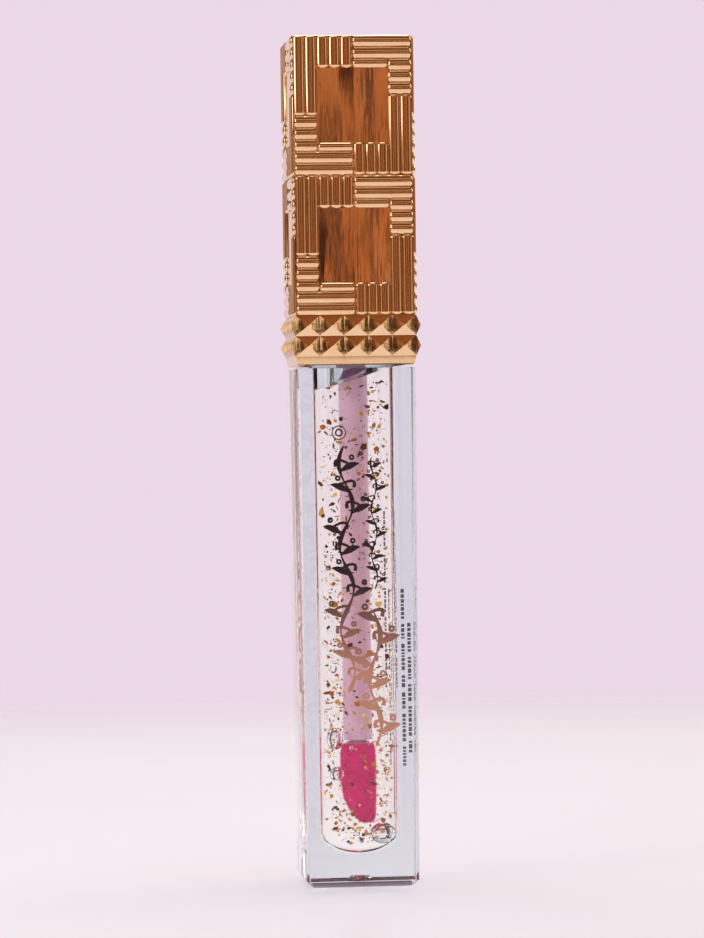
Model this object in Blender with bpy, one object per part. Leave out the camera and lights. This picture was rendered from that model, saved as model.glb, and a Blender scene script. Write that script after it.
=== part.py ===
"""Square lip gloss tube with a screw cap and a doe-foot wand.

The frame's origin is the centre of the bottle's base, +Z runs up to the cap
and -Y is the front. Every length is in metres.
"""
import math

import bmesh
import bpy

MM = 0.001

# Bottle: a tapered square block with a round cavity and a threaded neck.
BASE_HALF = 7.875 * MM
SHOULDER_HALF = 8.3 * MM
SHOULDER_Z = 72.4 * MM
SIDE_EDGE = 0.45 * MM
BASE_EDGE = 0.9 * MM
CAVITY_TOP_R = 5.45 * MM
CAVITY_LOW_R = 5.2 * MM
CAVITY_WALL_Z = 7.5 * MM
CAVITY_FLOOR_Z = 4.45 * MM
GATE_R = 1.7 * MM
GATE_DEPTH = 1.6 * MM

# Neck and thread, close to a 13 mm neck finish of 12 turns to the inch.
NECK_TOP_Z = 82.4 * MM
NECK_R = 6.0 * MM
NECK_BORE_R = 5.5 * MM
THREAD_LEAD = 2.117 * MM
THREAD_TURNS = 1.5
NECK_THREAD_R = 6.35 * MM
NECK_THREAD_Z = 76.2 * MM
LINER_THREAD_R = 6.43 * MM
LINER_THREAD_Z = 77.26 * MM

# Wiper in the neck.
WIPER_R = 5.42 * MM
WIPER_FLANGE_R = 5.95 * MM
WIPER_FLANGE_Z = (82.5 * MM, 83.2 * MM)
WIPER_LOW_Z = 76.1 * MM
WIPER_ORIFICE_R = 2.13 * MM
WIPER_WALL = 0.6 * MM

# Gloss and the bead of it that clings round the stem.
GLOSS_GAP = 0.1 * MM
GLOSS_BORE_R = 2.62 * MM
GLOSS_BORE_Z = 8.35 * MM
GLOSS_TOP_Z = 70.65 * MM
GLOSS_SLOPE = 0.315
FILM_GAP = 0.3 * MM
FILM_HEIGHT = 0.9 * MM
FILM_R = 3.4 * MM

# Wand.
STEM_R = 2.05 * MM
STEM_LOW_Z = 20.3 * MM
STEM_TOP_Z = 95.5 * MM
SPIGOT_R = 1.2 * MM
SPIGOT_Z = 12.8 * MM
FLOCK_DEPTH = 0.28 * MM
CORE_OFFSET = 0.33 * MM
CORE_TOP_Z = 20.05 * MM
CORE_TOP_R = 1.6 * MM
# Height, middle in X, half width in X and half width in Y of the flocked tip.
TIP_SECTIONS = [
    (19.75, 0.00, 2.12, 2.12),
    (19.30, 0.00, 2.44, 2.44),
    (18.00, 0.00, 2.50, 2.50),
    (14.20, 0.00, 2.50, 2.50),
    (12.20, 0.20, 2.28, 2.46),
    (10.60, 0.58, 1.86, 2.30),
    (9.50, 0.95, 1.36, 1.88),
    (8.95, 1.12, 0.86, 1.20),
]
TIP_END = (8.75, 1.15)

# Washer and inner cap.
WASHER_R = (2.35 * MM, 5.9 * MM)
WASHER_Z = (83.3 * MM, 84.1 * MM)
LINER_R = 7.05 * MM
LINER_ROOT_R = 6.65 * MM
LINER_LOW_Z = 73.4 * MM
LINER_PLATE_Z = (84.2 * MM, 85.4 * MM)
SOCKET_R = 3.2 * MM
SOCKET_BORE_R = 2.12 * MM
SOCKET_TOP_Z = 97.0 * MM
SOCKET_FLOOR_Z = 95.8 * MM
FIN_HALF = 0.5 * MM
FIN_TOP_Z = 93.0 * MM

# Cap shell: ribs on the upper part, two rows of pyramids and a plain skirt.
CAP_TOP_Z = 118.6 * MM
CAP_LOW_Z = 72.8 * MM
CAP_CAVITY_HALF = 7.15 * MM
CAP_CAVITY_TOP_Z = 117.4 * MM
RIB_PITCH = 1.65 * MM
RIB_HEIGHT = 0.42 * MM
RIB_HIP = 0.5 * MM
RIB_COUNT = 10
MODULE_HEIGHT = 19.45 * MM
PANEL_INSET = 4.57 * MM
FACE_HALF = RIB_PITCH * RIB_COUNT / 2
BAND_HALF = 8.4 * MM
BAND_TOP_Z = CAP_TOP_Z - 2 * MODULE_HEIGHT
PYRAMID_ROWS = 2
PYRAMIDS = 5
PYRAMID_TALL = 2.84 * MM
PYRAMID_HEIGHT = 0.88 * MM
BAND_LOW_Z = BAND_TOP_Z - PYRAMID_ROWS * PYRAMID_TALL
SKIRT_HALF = 8.15 * MM

ROUND_STEPS = 32


def clear_scene():
    """Remove whatever the scene holds."""
    for old in list(bpy.data.objects):
        bpy.data.objects.remove(old, do_unlink=True)


def material(name, colour, roughness, metallic=0.0, alpha=1.0, transmission=0.0):
    """Return a Principled material."""
    made = bpy.data.materials.new(name)
    made.use_nodes = True
    shader = made.node_tree.nodes["Principled BSDF"]
    shader.inputs["Base Color"].default_value = (*colour, 1.0)
    shader.inputs["Roughness"].default_value = roughness
    shader.inputs["Metallic"].default_value = metallic
    shader.inputs["Alpha"].default_value = alpha
    shader.inputs["Transmission Weight"].default_value = transmission
    made.diffuse_color = (*colour, alpha)
    return made


def add_object(name, bm, finish=None, smooth=True, cutter=False):
    """Turn a bmesh into a named object; a cutter is only a guide."""
    bmesh.ops.remove_doubles(bm, verts=bm.verts[:], dist=1e-7)
    bmesh.ops.recalc_face_normals(bm, faces=bm.faces[:])
    mesh = bpy.data.meshes.new(name)
    bm.to_mesh(mesh)
    bm.free()
    if smooth:
        mesh.shade_smooth()
        mesh.set_sharp_from_angle(angle=math.radians(35))
    made = bpy.data.objects.new(name, mesh)
    bpy.context.collection.objects.link(made)
    if finish:
        mesh.materials.append(finish)
    if cutter:
        made.hide_render = True
        made.display_type = "WIRE"
    return made


def join_shape(target, other, operation):
    """Add a Boolean modifier that unites or subtracts another object."""
    step = target.modifiers.new(other.name, "BOOLEAN")
    step.operation = operation
    step.solver = "EXACT"
    step.object = other


def turned(profile, steps=ROUND_STEPS):
    """Spin a closed profile of (radius, height) once round the Z axis."""
    bm = bmesh.new()
    points = [bm.verts.new((r, 0.0, z)) for r, z in profile]
    edges = [bm.edges.new((a, b)) for a, b in zip(points, points[1:] + points[:1])
             if max(a.co.x, b.co.x) > 0.0]
    bmesh.ops.spin(bm, geom=points + edges, cent=(0, 0, 0), axis=(0, 0, 1),
                   angle=math.tau, steps=steps, use_merge=True, use_duplicate=False)
    bmesh.ops.remove_doubles(bm, verts=bm.verts[:], dist=1e-7)
    return bm


def arc(centre_z, radius, height, start, stop, steps):
    """Return (radius, height) points along an elliptical arc, in degrees."""
    angles = [math.radians(start + (stop - start) * i / steps) for i in range(steps + 1)]
    return [(radius * math.cos(a), centre_z + height * math.sin(a)) for a in angles]


def box(low, high):
    """Return a box between two corners."""
    bm = bmesh.new()
    bmesh.ops.create_cube(bm, size=1.0)
    for vert in bm.verts:
        vert.co = [lo + (hi - lo) * (c + 0.5) for lo, hi, c in zip(low, high, vert.co)]
    return bm


def ridge(base_r, crest_r, start_z, steps_per_turn=ROUND_STEPS):
    """Return a helical ridge whose crest runs in to the base at both ends."""
    bm = bmesh.new()
    steps = int(THREAD_TURNS * steps_per_turn)
    fade = steps_per_turn // 12
    rings = []
    for i in range(steps + 1):
        angle = math.tau * i / steps_per_turn
        rise = start_z + THREAD_LEAD * i / steps_per_turn
        grown = min(1.0, (min(i, steps - i) + 0.4) / fade)
        crest = base_r + (crest_r - base_r) * grown
        section = [(base_r, -0.5), (crest, -0.2), (crest, 0.2), (base_r, 0.5)]
        rings.append([bm.verts.new((r * math.cos(angle), r * math.sin(angle), rise + z * MM))
                      for r, z in section])
    for near, far in zip(rings, rings[1:]):
        for k in range(4):
            bm.faces.new((near[k], near[(k + 1) % 4], far[(k + 1) % 4], far[k]))
    bm.faces.new(rings[0])
    bm.faces.new(rings[-1])
    return bm


def lofted(outer, outer_end, inner, inner_end, steps=28):
    """Return a closed sleeve between two nests of oval sections."""
    bm = bmesh.new()

    def oval(section):
        z, mid, half_x, half_y = section
        return [bm.verts.new((mid + half_x * math.cos(math.tau * k / steps),
                              half_y * math.sin(math.tau * k / steps), z))
                for k in range(steps)]

    def skin(loops, end):
        for upper, lower in zip(loops, loops[1:]):
            for k in range(steps):
                n = (k + 1) % steps
                bm.faces.new((upper[k], upper[n], lower[n], lower[k]))
        point = bm.verts.new((end[1], 0.0, end[0]))
        for k in range(steps):
            bm.faces.new((loops[-1][k], loops[-1][(k + 1) % steps], point))

    outside = [oval(s) for s in outer]
    skin(outside, outer_end)
    if inner:
        inside = [oval(s) for s in inner]
        skin(inside, inner_end)
        for k in range(steps):
            n = (k + 1) % steps
            bm.faces.new((outside[0][k], outside[0][n], inside[0][n], inside[0][k]))
    else:
        bm.faces.new(outside[0])
    return bm


def tip_sections(inset):
    """Return the tip's sections drawn in by an inset, and its end point."""
    sections = [[z * MM, mid * MM, hx * MM - inset, hy * MM - inset]
                for z, mid, hx, hy in TIP_SECTIONS]
    for section, lift in zip(sections[-4:], (0.2, 0.5, 0.8, 1.2)):
        section[0] += inset * lift
    return sections, (TIP_END[0] * MM + 1.2 * inset, TIP_END[1] * MM)


def make_bottle():
    """Make the clear bottle with its neck, thread and gate dimple."""
    clear = material("clear_copolyester", (0.93, 0.93, 0.96), 0.03, alpha=0.35,
                     transmission=0.9)
    bm = bmesh.new()
    bmesh.ops.create_cube(bm, size=2.0)
    for vert in bm.verts:
        half = SHOULDER_HALF if vert.co.z > 0 else BASE_HALF
        vert.co = (vert.co.x * half, vert.co.y * half, SHOULDER_Z if vert.co.z > 0 else 0.0)
    low = [e for e in bm.edges if max(v.co.z for v in e.verts) < 1e-6]
    bmesh.ops.bevel(bm, geom=low, offset=BASE_EDGE, segments=1, affect="EDGES",
                    offset_type="OFFSET")
    upright = [e for e in bm.edges if abs(e.verts[0].co.z - e.verts[1].co.z) > 1e-4]
    bmesh.ops.bevel(bm, geom=upright, offset=SIDE_EDGE, segments=2, profile=0.5,
                    affect="EDGES", offset_type="OFFSET")
    bottle = add_object("bottle", bm, clear)

    neck = add_object("neck_blank", turned([
        (0.0, SHOULDER_Z - 2 * MM), (NECK_R, SHOULDER_Z - 2 * MM),
        (NECK_R, NECK_TOP_Z - 0.15 * MM), (NECK_R - 0.15 * MM, NECK_TOP_Z),
        (0.0, NECK_TOP_Z)]), cutter=True)
    thread = add_object("neck_thread", ridge(NECK_R - 0.25 * MM, NECK_THREAD_R,
                                             NECK_THREAD_Z), cutter=True)
    dome = arc(CAVITY_WALL_Z, CAVITY_LOW_R, CAVITY_WALL_Z - CAVITY_FLOOR_Z, -90, 0, 7)
    dome[0] = (0.0, CAVITY_FLOOR_Z)
    cavity = add_object("cavity", turned(dome + [
        (CAVITY_TOP_R, SHOULDER_Z), (NECK_BORE_R, SHOULDER_Z + 0.6 * MM),
        (NECK_BORE_R, NECK_TOP_Z + MM), (0.0, NECK_TOP_Z + MM)]), cutter=True)
    gate = add_object("gate_dimple", turned([
        (0.0, -MM), (GATE_R, -MM), (GATE_R, GATE_DEPTH - 0.5 * MM),
        (GATE_R * 0.7, GATE_DEPTH - 0.1 * MM), (0.0, GATE_DEPTH)], 20), cutter=True)
    join_shape(bottle, gate, "DIFFERENCE")
    join_shape(bottle, neck, "UNION")
    join_shape(bottle, cavity, "DIFFERENCE")
    join_shape(bottle, thread, "UNION")


def make_wiper():
    """Make the wiper: a flanged sleeve whose lower lip squeezes the stem."""
    soft = material("soft_polyethylene", (0.86, 0.86, 0.85), 0.45, alpha=0.8)
    lip_z = WIPER_LOW_Z
    bore = WIPER_R - WIPER_WALL
    add_object("wiper", turned([
        (WIPER_ORIFICE_R, lip_z), (WIPER_ORIFICE_R + 0.45 * MM, lip_z),
        (WIPER_R - 0.3 * MM, lip_z + 2.6 * MM), (WIPER_R, lip_z + 3.2 * MM),
        (WIPER_R, WIPER_FLANGE_Z[0]), (WIPER_FLANGE_R, WIPER_FLANGE_Z[0]),
        (WIPER_FLANGE_R, WIPER_FLANGE_Z[1]), (bore, WIPER_FLANGE_Z[1]),
        (bore, lip_z + 3.4 * MM), (WIPER_ORIFICE_R, lip_z + 0.6 * MM)]), soft)


def make_gloss():
    """Make the gloss and the bead of it round the stem; both tops lean."""
    gel = material("gloss_gel", (0.93, 0.86, 0.91), 0.05, alpha=0.4, transmission=0.9)
    coat = material("gloss_coat", (0.72, 0.30, 0.55), 0.08, alpha=0.7, transmission=0.6)
    low_r = CAVITY_LOW_R - GLOSS_GAP
    top_r = CAVITY_TOP_R - GLOSS_GAP
    dome = arc(CAVITY_WALL_Z, low_r, CAVITY_WALL_Z - CAVITY_FLOOR_Z - GLOSS_GAP, -90, 0, 7)
    dome[0] = (0.0, CAVITY_FLOOR_Z + GLOSS_GAP)
    bm = turned(dome + [
        (top_r, GLOSS_TOP_Z), (GLOSS_BORE_R, GLOSS_TOP_Z),
        (GLOSS_BORE_R, GLOSS_BORE_Z), (0.0, GLOSS_BORE_Z)])
    for vert in bm.verts:
        if abs(vert.co.z - GLOSS_TOP_Z) < 1e-6:
            vert.co.z += GLOSS_SLOPE * vert.co.x
    add_object("gloss_fill", bm, gel)

    low = GLOSS_TOP_Z + FILM_GAP
    bm = turned([(GLOSS_BORE_R, low), (FILM_R, low), (FILM_R - 0.3 * MM, low + 0.3 * MM),
                 (GLOSS_BORE_R + 0.2 * MM, low + FILM_HEIGHT),
                 (GLOSS_BORE_R, low + FILM_HEIGHT)])
    for vert in bm.verts:
        vert.co.z += GLOSS_SLOPE * vert.co.x
    add_object("gloss_film", bm, coat)


def make_wand():
    """Make the stem, the soft core of its tip and the flock on the core."""
    pink = material("pink_stem", (0.58, 0.38, 0.50), 0.35)
    rubber = material("pink_elastomer", (0.75, 0.10, 0.32), 0.6)
    flock = material("magenta_flock", (0.73, 0.01, 0.19), 0.9)
    add_object("stem", turned([
        (0.0, SPIGOT_Z), (SPIGOT_R - 0.2 * MM, SPIGOT_Z),
        (SPIGOT_R, SPIGOT_Z + 0.3 * MM), (SPIGOT_R, STEM_LOW_Z),
        (STEM_R, STEM_LOW_Z), (STEM_R, STEM_TOP_Z - 0.4 * MM),
        (STEM_R - 0.4 * MM, STEM_TOP_Z), (0.0, STEM_TOP_Z)], 24), pink)

    sections, end = tip_sections(CORE_OFFSET)
    shoulder = [[CORE_TOP_Z, 0.0, CORE_TOP_R, CORE_TOP_R]]
    core = add_object("tip_core", lofted(shoulder + sections, end, None, None), rubber)
    bore = add_object("core_bore", turned([
        (0.0, SPIGOT_Z - 0.3 * MM), (SPIGOT_R + 0.1 * MM, SPIGOT_Z - 0.3 * MM),
        (SPIGOT_R + 0.1 * MM, 21 * MM), (0.0, 21 * MM)], 24), cutter=True)
    join_shape(core, bore, "DIFFERENCE")

    outer, outer_end = tip_sections(0.0)
    inner, inner_end = tip_sections(FLOCK_DEPTH)
    add_object("flocking", lofted(outer, outer_end, inner, inner_end), flock)


def make_washer():
    """Make the sealing washer under the inner cap's plate."""
    foam = material("foam_washer", (0.82, 0.82, 0.80), 0.8)
    (r0, r1), (z0, z1) = WASHER_R, WASHER_Z
    add_object("seal_washer", turned([(r0, z0), (r1, z0), (r1, z1), (r0, z1)]), foam)


def make_inner_cap():
    """Make the threaded liner with its stem socket and four fins."""
    natural = material("natural_polypropylene", (0.88, 0.88, 0.87), 0.4)
    liner = add_object("inner_cap", turned([
        (0.0, LINER_LOW_Z), (LINER_R, LINER_LOW_Z), (LINER_R, LINER_PLATE_Z[1]),
        (SOCKET_R, LINER_PLATE_Z[1]), (SOCKET_R, SOCKET_TOP_Z), (0.0, SOCKET_TOP_Z)]),
        natural)
    reach = LINER_R - 0.05 * MM
    low_z = LINER_PLATE_Z[0] + 0.5 * MM
    for name, half in (("fins_x", (reach, FIN_HALF)), ("fins_y", (FIN_HALF, reach))):
        fins = add_object(name, box((-half[0], -half[1], low_z),
                                    (half[0], half[1], FIN_TOP_Z)),
                          smooth=False, cutter=True)
        join_shape(liner, fins, "UNION")
    bore = add_object("liner_bore", turned([
        (0.0, LINER_LOW_Z - MM), (LINER_ROOT_R, LINER_LOW_Z - MM),
        (LINER_ROOT_R, LINER_PLATE_Z[0]), (SOCKET_BORE_R, LINER_PLATE_Z[0]),
        (SOCKET_BORE_R, SOCKET_FLOOR_Z), (0.0, SOCKET_FLOOR_Z)]), cutter=True)
    thread = add_object("liner_thread", ridge(LINER_ROOT_R + 0.2 * MM, LINER_THREAD_R,
                                              LINER_THREAD_Z), cutter=True)
    join_shape(liner, bore, "DIFFERENCE")
    join_shape(liner, thread, "UNION")


def module_tiles(top_z):
    """Return one pinwheel module's ribs and panel as (x0, x1, z0, z1) tiles."""
    low_z = top_z - MODULE_HEIGHT
    p = RIB_PITCH
    panel_top = top_z - PANEL_INSET
    ribs = []
    for i in range(2):
        ribs.append((i * p, (i + 1) * p, low_z + 5 * p, top_z))
    for i in range(2, 5):
        ribs.append((i * p, (i + 1) * p, panel_top, top_z))
    for i in range(5):
        high = top_z - i * p
        if i < 2:
            ribs.append((5 * p, 10 * p, high - p, high))
        else:
            ribs.append((8 * p, 10 * p, high - p, high))
    ribs.append((5 * p, 8 * p, panel_top, top_z - 2 * p))
    half_turn = [(10 * p - x1, 10 * p - x0, low_z + top_z - z1, low_z + top_z - z0)
                 for x0, x1, z0, z1 in ribs]
    panel = (2 * p, 8 * p, low_z + PANEL_INSET, panel_top)
    return ribs + half_turn, panel


def outline(tile, corners):
    """Return a tile's border with every tile corner that lies on it."""
    x0, x1, z0, z1 = tile
    near = 1e-7
    sides = [
        sorted(c for c in corners if abs(c[1] - z0) < near and x0 - near < c[0] < x1 - near),
        sorted((c for c in corners if abs(c[0] - x1) < near and z0 - near < c[1] < z1 - near),
               key=lambda c: c[1]),
        sorted((c for c in corners if abs(c[1] - z1) < near and x0 + near < c[0] < x1 + near),
               reverse=True),
        sorted((c for c in corners if abs(c[0] - x0) < near and z0 + near < c[1] < z1 + near),
               key=lambda c: -c[1]),
    ]
    return [corner for side in sides for corner in side]


def make_cap_shell():
    """Make the gold shell: ribbed faces, pyramid band, skirt and cavity."""
    gold = material("rose_gold_plate", (0.80, 0.44, 0.22), 0.12, metallic=1.0)
    bm = bmesh.new()
    known = {}

    def vert(x, y, z):
        key = (round(x * 1e7), round(y * 1e7), round(z * 1e7))
        if key not in known:
            known[key] = bm.verts.new((x, y, z))
        return known[key]

    def quarter_turn(point, times):
        x, y, z = point
        for _ in range(times):
            x, y = -y, x
        return vert(x, y, z)

    def face(points, times):
        bm.faces.new([quarter_turn(point, times) for point in points])

    ribs, panels = [], []
    for row in range(2):
        tiles, panel = module_tiles(CAP_TOP_Z - row * MODULE_HEIGHT)
        ribs += tiles
        panels.append(panel)
    corners = {(round(x, 8), round(z, 8)) for x0, x1, z0, z1 in ribs
               for x in (x0, x1) for z in (z0, z1)}
    # Two faces share each upright edge, so each edge carries both faces' corners.
    edge_x = (0.0, round(2 * FACE_HALF, 8))
    corners |= {(x, z) for at, z in corners if at in edge_x for x in edge_x}
    corners = sorted(corners)

    def on_front(x, z, out=0.0):
        return (x - FACE_HALF, -FACE_HALF - out, z)

    top = sorted(x for x, z in corners if z > CAP_TOP_Z - 1e-7)
    low = sorted(x for x, z in corners if z < BAND_TOP_Z + 1e-7)
    band = [BAND_HALF * (2 * i / PYRAMIDS - 1) for i in range(PYRAMIDS + 1)]
    for turn in range(4):
        for x0, x1, z0, z1 in ribs:
            border = outline((x0, x1, z0, z1), corners)
            upright = z1 - z0 > x1 - x0
            if upright:
                mid = (x0 + x1) / 2
                ends = [(mid, z0 + RIB_HIP), (mid, z1 - RIB_HIP)]
                split = [(x0, z0), (x1, z0), (x1, z1), (x0, z1)]
            else:
                mid = (z0 + z1) / 2
                ends = [(x1 - RIB_HIP, mid), (x0 + RIB_HIP, mid)]
                split = [(x1, z0), (x1, z1), (x0, z1), (x0, z0)]
            where = [min(range(len(border)),
                         key=lambda i: math.dist(border[i], corner)) for corner in split]
            for k in range(4):
                a, b = where[k], where[(k + 1) % 4]
                run = border[a:b + 1] if b > a else border[a:] + border[:b + 1]
                tops = ([ends[0]], [ends[1], ends[0]], [ends[1]], [ends[0], ends[1]])[k]
                face([on_front(*c) for c in run]
                     + [on_front(*c, out=RIB_HEIGHT) for c in tops], turn)
        for panel in panels:
            face([on_front(*c) for c in outline(panel, corners)], turn)
        face([on_front(x, BAND_TOP_Z) for x in low]
             + [(x, -BAND_HALF, BAND_TOP_Z) for x in reversed(band)], turn)
        for row in range(PYRAMID_ROWS):
            z1 = BAND_TOP_Z - row * PYRAMID_TALL
            z0 = z1 - PYRAMID_TALL
            for x0, x1 in zip(band, band[1:]):
                square = [(x0, -BAND_HALF, z0), (x1, -BAND_HALF, z0),
                          (x1, -BAND_HALF, z1), (x0, -BAND_HALF, z1)]
                apex = ((x0 + x1) / 2, -BAND_HALF - PYRAMID_HEIGHT, (z0 + z1) / 2)
                for a, b in zip(square, square[1:] + square[:1]):
                    face([a, b, apex], turn)
        face([(x, -BAND_HALF, BAND_LOW_Z) for x in reversed(band)]
             + [(-SKIRT_HALF, -SKIRT_HALF, CAP_LOW_Z),
                (SKIRT_HALF, -SKIRT_HALF, CAP_LOW_Z)], turn)
        inner = CAP_CAVITY_HALF
        face([(-SKIRT_HALF, -SKIRT_HALF, CAP_LOW_Z), (SKIRT_HALF, -SKIRT_HALF, CAP_LOW_Z),
              (inner, -inner, CAP_LOW_Z), (-inner, -inner, CAP_LOW_Z)], turn)
        face([(-inner, -inner, CAP_LOW_Z), (inner, -inner, CAP_LOW_Z),
              (inner, -inner, CAP_CAVITY_TOP_Z), (-inner, -inner, CAP_CAVITY_TOP_Z)], turn)
    face([(-CAP_CAVITY_HALF, -CAP_CAVITY_HALF, CAP_CAVITY_TOP_Z),
          (CAP_CAVITY_HALF, -CAP_CAVITY_HALF, CAP_CAVITY_TOP_Z),
          (CAP_CAVITY_HALF, CAP_CAVITY_HALF, CAP_CAVITY_TOP_Z),
          (-CAP_CAVITY_HALF, CAP_CAVITY_HALF, CAP_CAVITY_TOP_Z)], 0)
    rim = [quarter_turn(on_front(x, CAP_TOP_Z), turn) for turn in range(4)
           for x in top[:-1]]
    bm.faces.new(rim)
    add_object("cap_shell", bm, gold, smooth=False)


def main():
    """Build every piece."""
    clear_scene()
    make_bottle()
    make_wiper()
    make_gloss()
    make_wand()
    make_washer()
    make_inner_cap()
    make_cap_shell()


main()
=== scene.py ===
"""Square lip gloss tube: clear block bottle, ribbed rose-gold cap and flocked wand."""
import logging
import math
import random
from dataclasses import dataclass, field
from enum import Enum
from typing import Callable

import bmesh
import bpy
from mathutils import Matrix, Vector


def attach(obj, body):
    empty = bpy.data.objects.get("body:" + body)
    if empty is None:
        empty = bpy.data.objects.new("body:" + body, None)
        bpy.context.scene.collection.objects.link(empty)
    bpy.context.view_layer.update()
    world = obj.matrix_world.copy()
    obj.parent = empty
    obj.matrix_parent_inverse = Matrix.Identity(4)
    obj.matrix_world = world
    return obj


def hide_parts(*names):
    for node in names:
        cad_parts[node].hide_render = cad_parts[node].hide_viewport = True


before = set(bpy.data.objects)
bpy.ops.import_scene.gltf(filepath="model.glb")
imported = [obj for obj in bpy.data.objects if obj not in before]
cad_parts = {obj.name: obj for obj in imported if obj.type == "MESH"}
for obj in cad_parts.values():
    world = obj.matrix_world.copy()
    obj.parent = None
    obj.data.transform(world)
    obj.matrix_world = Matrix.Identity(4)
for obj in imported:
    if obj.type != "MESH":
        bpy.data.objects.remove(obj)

LOG = logging.getLogger("lip_gloss")
Stops = list[tuple[float, tuple[float, float, float]]]
MM = 0.001
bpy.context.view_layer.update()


class Pick(Enum):
    """What an edit-mode selection holds."""

    VERT = "VERT"
    EDGE = "EDGE"
    FACE = "FACE"


# ---------------------------------------------------------------- workbench


def deselect_all() -> None:
    """Leave edit mode and select nothing."""
    if bpy.context.object and bpy.context.object.mode != "OBJECT":
        bpy.ops.object.mode_set(mode="OBJECT")
    bpy.ops.object.select_all(action="DESELECT")


def activate(obj: bpy.types.Object) -> None:
    """Select one object alone and make it active.

    Args:
        obj: The object to work on.
    """
    deselect_all()
    obj.select_set(True)
    bpy.context.view_layer.objects.active = obj


def edit(obj: bpy.types.Object, kind: Pick = Pick.FACE) -> None:
    """Enter edit mode on an object with nothing selected.

    Args:
        obj: The object to edit.
        kind: The selection mode.
    """
    activate(obj)
    bpy.ops.object.mode_set(mode="EDIT")
    bpy.ops.mesh.select_mode(type=kind.value)
    bpy.ops.mesh.select_all(action="DESELECT")


def pick(kind: Pick, test: Callable[[Vector, object], bool]) -> int:
    """Select the elements of the edited mesh that pass a test.

    Args:
        kind: Which elements to look at.
        test: Takes an element's middle and the element, and says yes or no.

    Returns:
        How many were selected.
    """
    mesh = bpy.context.object.data
    bm = bmesh.from_edit_mesh(mesh)
    for face in bm.faces:
        face.select_set(False)
    for edge in bm.edges:
        edge.select_set(False)
    for vert in bm.verts:
        vert.select_set(False)
    if kind is Pick.FACE:
        chosen = [f for f in bm.faces if test(f.calc_center_median(), f)]
    elif kind is Pick.EDGE:
        chosen = [e for e in bm.edges if test((e.verts[0].co + e.verts[1].co) / 2, e)]
    else:
        chosen = [v for v in bm.verts if test(v.co, v)]
    for element in chosen:
        element.select_set(True)
    bm.select_flush_mode()
    bmesh.update_edit_mesh(mesh)
    return len(chosen)


def finish_edit(obj: bpy.types.Object, angle: float = 40.0) -> bpy.types.Object:
    """Merge doubles, turn the faces outwards and shade smooth by angle.

    Args:
        obj: The object being edited.
        angle: Edges sharper than this many degrees stay sharp.

    Returns:
        The same object.
    """
    if obj.mode != "EDIT":
        edit(obj)
    bpy.ops.mesh.select_all(action="SELECT")
    bpy.ops.mesh.remove_doubles(threshold=2e-7)
    bpy.ops.mesh.normals_make_consistent(inside=False)
    bpy.ops.object.mode_set(mode="OBJECT")
    activate(obj)
    bpy.ops.object.shade_smooth_by_angle(angle=math.radians(angle))
    return obj


def place_in_mesh(obj: bpy.types.Object) -> None:
    """Bake the object's location, rotation and scale into its mesh."""
    activate(obj)
    bpy.ops.object.transform_apply(location=True, rotation=True, scale=True)


def named(name: str) -> bpy.types.Object:
    """Name the active object and its mesh, and return it."""
    obj = bpy.context.object
    obj.name = name
    obj.data.name = name
    return obj


def turn_profile(name: str, profile: list[tuple[float, float]], steps: int = 96,
                 angle: float = 40.0) -> bpy.types.Object:
    """Extrude a closed profile point by point and spin it round the Z axis.

    Args:
        name: The new object's name.
        profile: (radius, height) points, in metres.
        steps: Divisions round the axis.
        angle: Edges sharper than this many degrees stay sharp.

    Returns:
        The turned object.
    """
    deselect_all()
    first = profile[0]
    bpy.ops.mesh.primitive_plane_add(size=0.0001, location=(0, 0, 0))
    obj = named(name)
    edit(obj, Pick.VERT)
    bpy.ops.mesh.select_all(action="SELECT")
    bpy.ops.mesh.merge(type="CENTER")
    bpy.ops.transform.translate(value=(first[0], 0.0, first[1]))
    for here, there in zip(profile, profile[1:]):
        bpy.ops.mesh.extrude_region_move(TRANSFORM_OT_translate={
            "value": (there[0] - here[0], 0.0, there[1] - here[1])})
    if first[0] > 1e-9 or profile[-1][0] > 1e-9:
        here, there = profile[-1], first
        bpy.ops.mesh.extrude_region_move(TRANSFORM_OT_translate={
            "value": (there[0] - here[0], 0.0, there[1] - here[1])})
    bpy.ops.mesh.select_all(action="SELECT")
    bpy.ops.mesh.remove_doubles(threshold=1e-7)
    bpy.ops.mesh.spin(steps=steps, angle=math.tau, center=(0, 0, 0), axis=(0, 0, 1))
    bpy.ops.mesh.select_all(action="SELECT")
    bpy.ops.mesh.remove_doubles(threshold=1e-6)
    return finish_edit(obj, angle)


def join_all(name: str, pieces: list[bpy.types.Object]) -> bpy.types.Object:
    """Join several objects into the first and name it.

    Args:
        name: The joined object's name.
        pieces: The objects to join.

    Returns:
        The joined object.
    """
    deselect_all()
    for piece in pieces:
        piece.select_set(True)
    bpy.context.view_layer.objects.active = pieces[0]
    if len(pieces) > 1:
        bpy.ops.object.join()
    return named(name)


def copies(source: bpy.types.Object, places: list[Matrix], name: str,
           keep_source: bool = False) -> bpy.types.Object:
    """Copy a modelled piece's mesh to many places as one object.

    Args:
        source: The piece modelled once.
        places: Where each copy goes.
        name: The new object's name.
        keep_source: Whether the source stays in the scene.

    Returns:
        One object that holds every copy.
    """
    bm = bmesh.new()
    for place in places:
        part = source.data.copy()
        part.transform(place)
        if place.determinant() < 0:
            part.flip_normals()
        bm.from_mesh(part)
        bpy.data.meshes.remove(part)
    mesh = bpy.data.meshes.new(name)
    bm.to_mesh(mesh)
    bm.free()
    obj = bpy.data.objects.new(name, mesh)
    bpy.context.collection.objects.link(obj)
    if not keep_source:
        bpy.data.objects.remove(source, do_unlink=True)
    activate(obj)
    bpy.ops.object.shade_smooth_by_angle(angle=math.radians(40))
    return obj


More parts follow.
